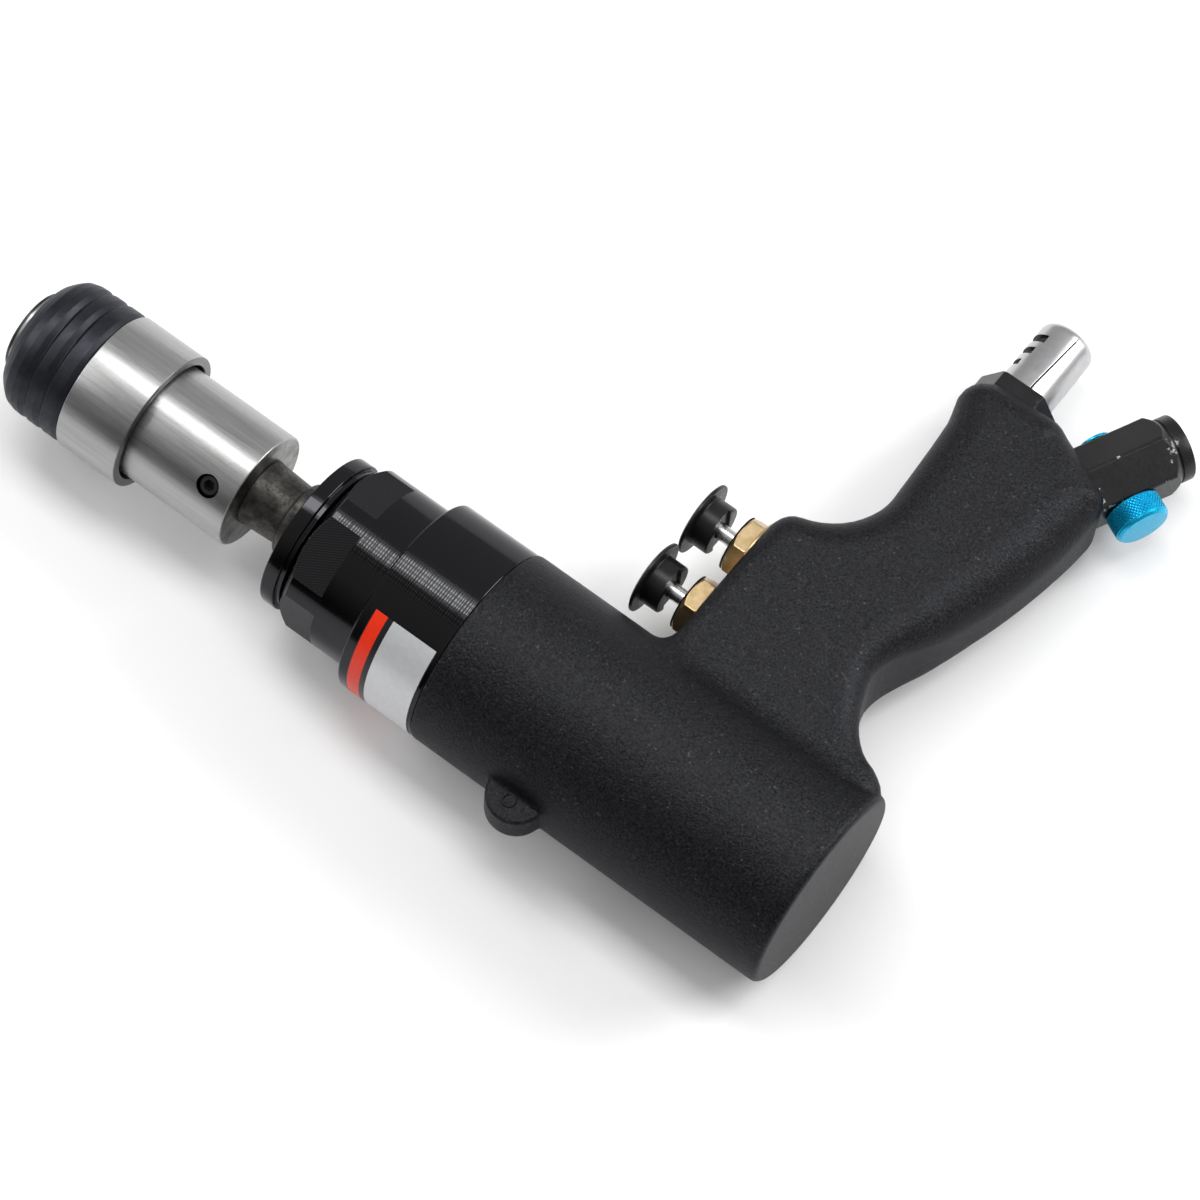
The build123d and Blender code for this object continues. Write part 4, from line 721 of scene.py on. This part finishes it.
def contour(f, lo, hi, h):
    """Dual contouring of f = 0: quads whose corners sit on the surface and keep its edges."""
    lo, hi = np.array(lo, float), np.array(hi, float)
    n = np.ceil((hi - lo) / h).astype(int) + 1
    ax = [lo[i] + h * np.arange(n[i]) for i in range(3)]
    S = np.empty(n, np.float32)
    for i in range(0, n[0], 16):
        X, Yg, Zg = np.meshgrid(ax[0][i:i + 16], ax[1], ax[2], indexing="ij")
        S[i:i + 16] = f(X, Yg, Zg)
    cells = n - 1
    acc = {}
    quads = []
    recs = []
    for d in range(3):
        a = S[tuple(slice(0, -1) if k == d else slice(None) for k in range(3))]
        b = S[tuple(slice(1, None) if k == d else slice(None) for k in range(3))]
        idx = np.argwhere((a < 0) != (b < 0))
        o = [k for k in range(3) if k != d]
        ok = np.all([(idx[:, k] > 0) & (idx[:, k] < n[k] - 1) for k in o], 0)
        idx = idx[ok]
        va, vb = a[tuple(idx.T)], b[tuple(idx.T)]
        P = lo + idx * h
        lo_t, hi_t = np.zeros(len(idx)), np.ones(len(idx))
        neg_first = va < 0
        for _ in range(12):
            m = (lo_t + hi_t) / 2
            Q = P.copy()
            Q[:, d] += m * h
            neg = f(Q[:, 0], Q[:, 1], Q[:, 2]) < 0
            go = neg == neg_first
            lo_t, hi_t = np.where(go, m, lo_t), np.where(go, hi_t, m)
        P[:, d] += (lo_t + hi_t) / 2 * h
        e = 0.02
        G = np.stack([f(*(P + e * np.eye(3)[k]).T) - f(*(P - e * np.eye(3)[k]).T) for k in range(3)], 1)
        G /= np.maximum(np.linalg.norm(G, axis=1, keepdims=True), 1e-9)
        quad = []
        for da, db in ((-1, -1), (0, -1), (0, 0), (-1, 0)):
            c = idx.copy()
            c[:, o[0]] += da
            c[:, o[1]] += db
            cid = (c[:, 0] * cells[1] + c[:, 1]) * cells[2] + c[:, 2]
            quad.append(cid)
            recs.append((cid, P, G))
        quad = np.stack(quad, 1)
        flip = neg_first if d != 1 else ~neg_first
        quad = np.where(flip[:, None], quad, quad[:, ::-1])
        quads.append(quad)
    cid = np.concatenate([r[0] for r in recs])
    P = np.concatenate([r[1] for r in recs])
    G = np.concatenate([r[2] for r in recs])
    uid, inv = np.unique(cid, return_inverse=True)
    m = len(uid)
    cnt = np.bincount(inv, minlength=m)[:, None]
    mass = np.stack([np.bincount(inv, P[:, k], m) for k in range(3)], 1) / cnt
    rhs = ((P - mass[inv]) * G).sum(1)
    ATA = np.zeros((m, 3, 3))
    ATb = np.zeros((m, 3))
    for i in range(3):
        ATb[:, i] = np.bincount(inv, G[:, i] * rhs, m)
        for j in range(3):
            ATA[:, i, j] = np.bincount(inv, G[:, i] * G[:, j], m)
    ATA += 0.06 * np.eye(3)
    V = mass + np.clip(np.linalg.solve(ATA, ATb[..., None])[..., 0], -0.9 * h, 0.9 * h)
    quads = np.searchsorted(uid, np.concatenate(quads))
    return V, quads


def settle(f, V, rounds=2, limit=0.25):
    """Moves points the last few hundredths onto the surface."""
    e = 0.02
    for _ in range(rounds):
        d = f(*V.T)
        G = np.stack([f(*(V + e * np.eye(3)[k]).T) - f(*(V - e * np.eye(3)[k]).T) for k in range(3)], 1) / (2 * e)
        V = V - np.clip(d / np.maximum((G * G).sum(1), 0.2), -limit, limit)[:, None] * G
    return V


STEP = 0.62
V, Q = contour(housing, (-1.13, -125.17, -26.2), (97.3, 33.4, 26.2), STEP)
V = settle(housing, V)
make("housing_skin", V, Q, "housing", MAT["housing_coat"], ["motor_housing"], sharp=42, clean=False)

# the small ring cast on the lug's side
ring = rounded([(4.0 - 0.3, 1.15, 0), (4.0 - 0.3, 1.85, 0), (4.35, 1.7, 0.12), (4.35, 1.3, 0.12)], 3)
LUGM = Ax((66.9, 26.8, 0), Z, (1, 0, 0), Y)
v, f, *_ = revolve(ring, LUGM, 48)
make("lug_mark", v, f, "housing", MAT["housing_coat"])

# ------------------------------------------------------------------ gear case
prof = rounded([
    (66.2, 18.55), (66.2, 21.0), (66.7, 21.45), (88.4, 21.45), (88.4, 20.0), (90.8, 20.0), (90.8, 21.45), (96.05, 21.45),
    (96.05, 24.74, 0.35), (117.1, 24.74, 0.8), (117.1, 21.3, 0.12), (126.0, 21.3), (127.56, 21.3), (127.62, 21.3), (135.8, 21.3, 0.25), (138.35, 18.9, 0.15), (138.6, 18.6, 0.1),
    (139.7, 18.6, 0.1), (139.7, 19.6, 0.3), (143.4, 19.6, 0.4), (143.4, 13.0, 0.3), (136.5, 13.0), (136.5, 10.2), (132.0, 10.2),
    (132.0, 16.0), (101.75, 16.0), (101.75, 16.7), (100.05, 16.7), (100.05, 16.0), (99.2, 16.0), (99.2, 18.55)], 5)
prof = densify(prof, 0.16, 125.9, 139.0)
FLAT = hexagon(2 * 19.68, 0.0, 400)


def flats(t, r, th):
    a = FLAT(th)
    hit = (t > 127.6) & (t < 138.6) & (r > 18.0)
    return np.where(hit, np.minimum(r, a), r)


v, f, T, R, TH = revolve(prof, SPIN, 1440, flats)
near = (TH + math.pi / 6) % (math.pi / 3) - math.pi / 6
on = ((T > 127.55) & (T < 138.3) & (np.abs(R * np.cos(near) - 19.68) < 0.03)).astype(float)
make("gear_case_skin", v, f, "housing", MAT["case_black"], ["gear_case"], sharp=14,
     attrs={"flat": on, "fu": T, "fv": R * np.sin(near)})

# blank foil band
na, nt = 160, 30
ang = np.radians(np.linspace(-85, 55, na))
xs = np.linspace(97.1, 114.4, nt)
A, Xg = np.meshgrid(ang, xs, indexing="ij")
outer = np.stack([Xg, 24.84 * np.cos(A), 24.84 * np.sin(A)], -1).reshape(-1, 3)
inner = np.stack([Xg, 24.75 * np.cos(A), 24.75 * np.sin(A)], -1).reshape(-1, 3)
fs = []
for i in range(na - 1):
    for j in range(nt - 1):
        a, b, c, d = i * nt + j, (i + 1) * nt + j, (i + 1) * nt + j + 1, i * nt + j + 1
        fs += [(a, b, c, d), (a + na * nt, d + na * nt, c + na * nt, b + na * nt)]
loop = [j for j in range(nt)] + [i * nt + nt - 1 for i in range(1, na)] + [(na - 1) * nt + j for j in range(nt - 2, -1, -1)] + [
    i * nt for i in range(na - 2, 0, -1)]
for a, b in zip(loop, loop[1:] + loop[:1]):
    fs.append((a, b, b + na * nt, a + na * nt))
make("label_band", np.concatenate([outer, inner]), fs, "housing", MAT["label_foil"], ["rating_label"])

# ------------------------------------------------------------------ chuck
prof = rounded([(158.9, 7.88, 0.1), (158.9, 14.75, 0.45), (195.5, 14.75, 0.5), (195.5, 10.5), (184.5, 10.5), (184.5, 2.5), (182.9, 2.5),
                (182.9, 7.28)], 5)
v, f, *_ = revolve(prof, SPIN, 288)
chuck = make("chuck_shell", v, f, "spindle", MAT["chuck_steel"], ["chuck_body"], sharp=30)
SA = math.radians(46.0)
SCREW = Ax((165.7, 0, 0), (0, math.cos(SA), math.sin(SA)), (1, 0, 0), (0, -math.sin(SA), math.cos(SA)))
v, f, *_ = revolve([(6.6, 0), (6.6, 2.6), (12.4, 2.6), (12.5, 2.85), (17, 2.85), (17, 0)], SCREW, 64)
PIN = Ax((191.5, 0, 0), Z, (1, 0, 0), Y)
v2, f2, *_ = revolve([(9, 0), (9, 1.4), (17, 1.4), (17, 0)], PIN, 40)
cut(chuck, [(v, f), (v2, f2)])
shade(chuck, 30)

prof = rounded([(187.4, 15.65, 0.15), (187.4, 17.73, 0.28), (204.4, 17.73, 0.28), (204.4, 12.52), (200.0, 12.52), (200.0, 15.65)], 5)
v, f, *_ = revolve(prof, SPIN, 288)
make("float_sleeve_shell", v, f, "chuck_head", MAT["chuck_steel"], ["float_sleeve"], sharp=30)

prof = rounded([(188.7, 6.0), (188.7, 10.42), (200.0, 10.42), (200.0, 12.5), (218.8, 12.5), (218.8, 13.7, 0.1), (220.6, 13.7, 0.25),
                (220.6, 10.25), (224.9, 10.25), (224.9, 9.5), (203.0, 9.5), (203.0, 4.0), (199.4, 4.0), (199.4, 6.0)], 5)
v, f, *_ = revolve(prof, SPIN, 256)
sock = make("tap_socket_shell", v, f, "chuck_head", MAT["chuck_steel"], ["tap_socket"], sharp=30)
cuts = []
for k in range(3):
    b = math.radians(90 + 120 * k)
    HOLE = Ax((206.6, 0, 0), (0, math.cos(b), math.sin(b)), (1, 0, 0), (0, -math.sin(b), math.cos(b)))
    cuts.append(revolve([(7.5, 0), (7.5, 1.48), (15, 1.48), (15, 0)], HOLE, 36)[:2])
cuts.append(box_mesh((191.5, -1.45, 4), (195.85, 1.45, 13)))
cut(sock, cuts)
shade(sock, 30)

prof = rounded([(224.9, 9.6), (224.9, 10.25), (225.7, 10.25, 0.25), (225.7, 9.6, 0.2)], 4)
v, f, *_ = revolve(prof, SPIN, 256)
make("nose_ring", v, f, "chuck_head", MAT["black_oxide"], ["socket_nose_ring"], sharp=30)


# three flat bands parted by grooves, then a rounded lip
prof = rounded([(204.7, 12.55), (204.7, 16.9, 0.1), (205.0, 17.1, 0.1), (206.1, 17.55, 0.3), (209.3, 17.55, 0.3), (210.0, 16.9, 0.15),
                (210.2, 16.9, 0.15), (211.5, 17.55, 0.5), (213.8, 17.55, 0.3), (214.5, 16.9, 0.15), (214.7, 16.9, 0.15), (216.0, 17.55, 0.5),
                (217.9, 17.45, 0.6), (220.1, 16.85, 1.2), (221.45, 15.75, 0.8), (222.45, 14.75, 0.4), (222.9, 14.25, 0.1), (222.9, 14.0, 0.1),
                (221.7, 14.0), (220.9, 14.85), (208.6, 14.85), (208.6, 12.55)], 5)
v, f, *_ = revolve(prof, SPIN, 288)
make("locking_grip", v, f, "locking_sleeve", MAT["sleeve_black"], ["locking_sleeve"], sharp=28)

# ------------------------------------------------------------------ valve glands and push buttons
for name, ax in (("forward", VALVE_F), ("reverse", VALVE_R)):
    prof = rounded([(52.3, 2.05), (52.3, 4.98, 0.4), (60.02, 4.98), (60.02, 8.45, 0.12), (61.1, 8.45, 0.25), (61.1, 7.9, 0.0), (65.6, 7.9, 0.0),
                    (65.6, 2.05, 0.25)], 4)
    prof = densify(prof, 0.14, 61.0, 65.7)
    HEX = hexagon(13.5, math.radians(30), 110)

    def gland(t, r, th):
        a = np.minimum(HEX(th), 7.8)
        cone = np.where(t > 64.3, 7.75 - (t - 64.3) * 1.05, 99)
        low = np.where(t < 61.45, 7.75 + (t - 61.45) * 0.8, 99)
        return np.where((t > 61.12) & (r > 7.0), np.minimum(np.minimum(a, cone), np.maximum(low, 6.4)), r)

    v, f, *_ = revolve(prof, ax, 360, gland)
    make(name + "_gland", v, f, "housing", MAT["gland_brass"], [name + "_valve_gland"], sharp=28)

    prof = rounded([(70.0, 2.01), (70.0, 6.2, 0.45), (75.0, 6.2, 0.4), (74.95, 8.9, 0.2), (75.1, 9.2, 0.12), (75.7, 9.2, 0.2),
                    (76.15, 8.3, 0.4), (76.35, 5.0, 2.0), (76.4, 0), (73.1, 0), (73.1, 2.01)], 5)
    v, f, *_ = revolve(prof, ax, 160)
    cap = make(name + "_cap", v, f, name + "_trigger", MAT["button_plastic"], [name + "_button"], sharp=35)
    cy = float(ax.o[1])
    cut(cap, [box_mesh((69.0, cy - 3.0, -8), (70.7, cy + 3.0, 8))])
    shade(cap, 35)

# ------------------------------------------------------------------ exhaust bushing and silencer
HEXS = hexagon(19.0, math.radians(30), 110)
prof = rounded([(111.5, 5.0), (111.5, 6.62, 0.3), (121.0, 6.62), (121.0, 11.0, 0.0), (127.0, 11.0, 0.0), (127.0, 7.12, 0.2), (124.4, 7.12), (124.4, 5.0)], 4)
prof = densify(prof, 0.16, 120.9, 127.1)


def bush(t, r, th):
    a = np.minimum(HEXS(th), 10.95)
    cone = np.where(t > 126.7, 10.95 - (t - 126.7) * 1.0, 99)
    return np.where((t > 120.99) & (r > 8.6), np.minimum(np.minimum(r, a), cone), r)


v, f, T, R, TH = revolve(prof, SIL, 360, bush)
wear = np.clip((R - 9.9) / 0.8, 0, 1) * 0.4
make("exhaust_hex", v, f, "housing", MAT["fitting_black"], ["exhaust_bushing"], sharp=28, attrs={"wear": wear})

prof = rounded([(124.45, 6.0), (124.45, 7.1), (147.5, 7.1, 2.2), (147.5, 0.0), (146.3, 0.0), (146.3, 4.9, 0.4), (145.1, 6.0, 0.4)], 8)


def wind(t):
    return np.radians(12 * (np.clip(t, 129.6, 146.1) - 129.6) / 16.5)


def seam(t, r, th):
    a = np.abs(th - wind(t) - math.radians(100))
    return np.where((r > 6.6) & (t > 127.5) & (t < 146.4), r - 0.30 * np.clip(1.3 - a / math.radians(1.2), 0, 1), r)


prof = densify(prof, 0.8, 124.4, 146.0)
v, f, *_ = revolve(prof, SIL, 720, seam, twist=wind)
sil = make("silencer_shell", v, f, "housing", MAT["silencer_alu"], ["silencer_tube"], sharp=30)
cuts = []
for ang, ys, w, hh in ((42.5, -133.5, 4.0, 0.9), (54, -137.3, 5.0, 1.05), (62.5, -141.3, 6.0, 1.15)):
    x0 = 35.5 + 7.1 * math.cos(math.radians(ang))
    cuts.append(box_mesh((x0, ys - hh, -9), (x0 + w, ys + hh, 9)))
cut(sil, cuts)
shade(sil, 30)

# ------------------------------------------------------------------ air inlet and its regulator
HEXI = hexagon(17.0, 0.0, 130)
prof = rounded([(-12.0, 3.0), (-12.0, 6.42, 0.3), (-3.0, 6.42), (-3.0, 9.6, 0.0), (21.45, 9.6, 0.0), (21.45, 7.7, 0.15), (22.05, 7.7, 0.15),
                (22.15, 8.05, 0.2), (25.3, 8.05, 0.45), (25.3, 6.42, 0.15), (24.65, 5.72), (12.8, 5.72), (12.8, 4.7), (12.1, 4.7), (12.1, 3.0)], 4)
prof = densify(prof, 0.25, -3.0, 21.5)


def inlet(t, r, th):
    a = np.minimum(HEXI(th), 9.66)
    cone = np.where(t > 19.25, 9.75 - (t - 19.25) * 0.72, 99)
    return np.where((t > -3.01) & (t < 21.46) & (r > 8.0), np.minimum(np.minimum(r, a), cone), r)


v, f, T, R, TH = revolve(prof, INLET, 480, inlet)
corner = np.abs((TH - math.radians(30)) / (math.pi / 3) - np.round((TH - math.radians(30)) / (math.pi / 3))) * 60
wear = np.where((T > -0.01) & (T < 21.65) & (R > 7.9), np.clip(1 - corner / 3.2, 0, 1), 0)
wear = np.maximum(wear, np.where((T < 0.9) & (T > -0.01) & (R > 8.0), 0.75, 0))
wear = np.maximum(wear, np.where((T > 19.15) & (T < 21.75), 0.50, 0))
wear = np.maximum(wear, np.where((T > 22.05) & (T < 22.55), 0.5, 0))
wear = np.maximum(wear, np.where((T > 0) & (T < 21), 0.22, 0))
bush_in = make("inlet_hex", v, f, "housing", MAT["fitting_black"], ["inlet_bushing"], sharp=28, attrs={"wear": wear})
CROSS = Ax(IN0 + DIR_D * 7.75, DIR_E, DIR_D, Z)
cut(bush_in, [revolve([(-12, 0), (-12, 4.05), (12, 4.05), (12, 0)], CROSS, 72)[:2]])
shade(bush_in, 28)


def knurl(t, r, th):
    """Crossed straight grooves round the rim."""
    n, lead = 44, 44 / 6.75
    a, b = (th * n + (t - 11.0) * lead) / (2 * math.pi), (th * n - (t - 11.0) * lead) / (2 * math.pi)
    tri = lambda q: np.abs((q % 1) - 0.5) * 2
    deep = np.minimum(np.minimum(tri(a), tri(b)) * 1.5, 0.6)
    ends = np.clip(np.minimum(t - 9.15, 13.65 - t) / 0.15, 0, 1)
    return np.where((r > 6.0) & (t > 9.1) & (t < 13.7), r - 0.30 * (0.6 - deep) / 0.6 * ends, r)


prof = rounded([(8.75, 3.01), (8.75, 6.75, 0.5), (13.75, 6.75, 0.1), (13.85, 6.5, 0.08), (14.0, 6.5, 0.08), (14.1, 6.6, 0.1), (14.75, 6.0, 0.4), (14.75, 0.0),
                (12.95, 0.0), (12.95, 3.01)], 4)
prof = densify(prof, 0.08, 9.0, 13.74)
v, f, *_ = revolve(prof, SPOOL_N, 704, knurl)
make("knob_near", v, f, "regulator", MAT["knob_blue"], ["regulator_knob"], sharp=40)
prof = rounded([(8.75, 1.51), (8.75, 4.4, 0.1), (9.4, 4.4, 0.25), (9.4, 0.0), (9.05, 0.0), (9.05, 1.51)], 4)
v, f, *_ = revolve(prof, SPOOL_P, 128)
make("cap_far", v, f, "regulator", MAT["knob_blue"], ["regulator_cap"], sharp=40)

# ------------------------------------------------------------------ springs
def coil(name, ax, t0, height, pitch, rad, wire, body, replaces=()):
    """A wound spring as a closed tube."""
    turns, m = height / pitch, 12
    n = int(turns * 40) + 1
    w = np.linspace(0, 2 * math.pi * turns, n)
    ph = 2 * math.pi * np.arange(m) / m
    W, PH = np.meshgrid(w, ph, indexing="ij")
    t, r = t0 + height * W / w[-1] + wire * np.sin(PH), rad + wire * np.cos(PH)
    P = ax.o + t[..., None] * ax.a + (r * np.cos(W))[..., None] * ax.u + (r * np.sin(W))[..., None] * ax.v
    fs = [(i * m + j, (i + 1) * m + j, (i + 1) * m + (j + 1) % m, i * m + (j + 1) % m) for i in range(n - 1) for j in range(m)]
    fs += [tuple(range(m)), tuple((n - 1) * m + j for j in range(m - 1, -1, -1))]
    ob = make(name, P.reshape(-1, 3), fs, body, MAT["spring_steel"], replaces, sharp=40)
    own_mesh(ob)


coil("float_coil", SPIN, 185.05, 13.8, 2.3, 4.8, 0.5, "spindle", ["float_spring"])
coil("locking_coil", SPIN, 209.2, 9.0, 2.25, 13.65, 0.5, "chuck_head", ["locking_spring"])
coil("forward_coil", VALVE_F, 35.4, 7.5, 1.5, 3.0, 0.35, "housing", ["valve_springs"])
coil("reverse_coil", VALVE_R, 35.4, 7.5, 1.5, 3.0, 0.35, "housing")

# ------------------------------------------------------------------ floor, light and camera
bpy.ops.mesh.primitive_plane_add(size=12, location=(0, 0, 0))
floor = bpy.context.object
floor.name = "floor"
k = Mat("floor_white")
k.to("Base Color", k.mix(k.noise(9, 3, 0.5), (0.965, 0.965, 0.965), (0.985, 0.985, 0.985)))
k.put(Roughness=0.6, Specular_IOR_Level=0.3)
floor.data.materials.append(k.m)

scene = bpy.context.scene
scene.view_settings.view_transform = "Standard"
scene.view_settings.look = "None"
scene.view_settings.exposure = 0.0
scene.view_settings.gamma = 1.0

world = bpy.data.worlds.new("studio")
world.use_nodes = True
scene.world = world
nt = world.node_tree
bg = next(n for n in nt.nodes if n.type == "BACKGROUND")
tc = nt.nodes.new("ShaderNodeTexCoord")
sep = nt.nodes.new("ShaderNodeSeparateXYZ")
nt.links.new(tc.outputs["Generated"], sep.inputs[0])
half = nt.nodes.new("ShaderNodeMapRange")
half.inputs["From Min"].default_value, half.inputs["From Max"].default_value = -1.0, 1.0
nt.links.new(sep.outputs["Y"], half.inputs["Value"])
ramp = nt.nodes.new("ShaderNodeValToRGB")
el = ramp.color_ramp.elements
while len(el) < 5:
    el.new(0.5)
for e, (pos, val) in zip(el, ((0.0, 0.58), (0.4, 0.42), (0.82, 0.33), (0.93, 0.16), (0.975, 0.05))):
    e.position, e.color = pos, (val, val, val, 1)
nt.links.new(half.outputs[0], ramp.inputs[0])
nt.links.new(ramp.outputs[0], bg.inputs["Color"])
bg.inputs["Strength"].default_value = 1.0


def area(name, direction, dist, size, power, target=(110, -20, 0)):
    """A soft light whose long side runs with the spindle."""
    d = way(np.array(direction, float))
    d /= np.linalg.norm(d)
    x = np.array([1.0, 0, 0]) - d[0] * d
    x /= np.linalg.norm(x)
    y = np.cross(d, x)
    t = at(np.array(target, float)) + d * dist
    li = bpy.data.lights.new(name, "AREA")
    li.shape = "RECTANGLE"
    li.size, li.size_y = size
    li.energy = power
    ob = bpy.data.objects.new(name, li)
    scene.collection.objects.link(ob)
    m = Matrix.Identity(4)
    for i in range(3):
        m[i][0], m[i][1], m[i][2], m[i][3] = x[i], y[i], d[i], t[i]
    ob.matrix_world = m
    return ob


area("strip", (0.15, -0.09, 0.98), 1.0, (1.0, 0.30), 5.5)
area("side_front", (0.75, 0.30, 0.59), 1.0, (0.45, 0.5), 3.0)
area("side_rear", (-0.55, -0.60, 0.58), 1.0, (0.5, 0.5), 6.6)

cam = bpy.data.cameras.new("camera")
cam.lens, cam.sensor_width = 154.48, 36.0
cam.clip_start, cam.clip_end = 0.05, 20
cob = bpy.data.objects.new("camera", cam)
scene.collection.objects.link(cob)
right, up, back = (way(np.array(q)) for q in ((-0.7972, -0.6019, 0.0467), (0.5621, -0.7118, 0.4211), (-0.2203, 0.3620, 0.9058)))
pos = at(np.array([-175.5, 396.0, 1057.0]))
M = Matrix.Identity(4)
for i in range(3):
    M[i][0], M[i][1], M[i][2], M[i][3] = right[i], up[i], back[i], pos[i]
cob.matrix_world = M
scene.camera = cob
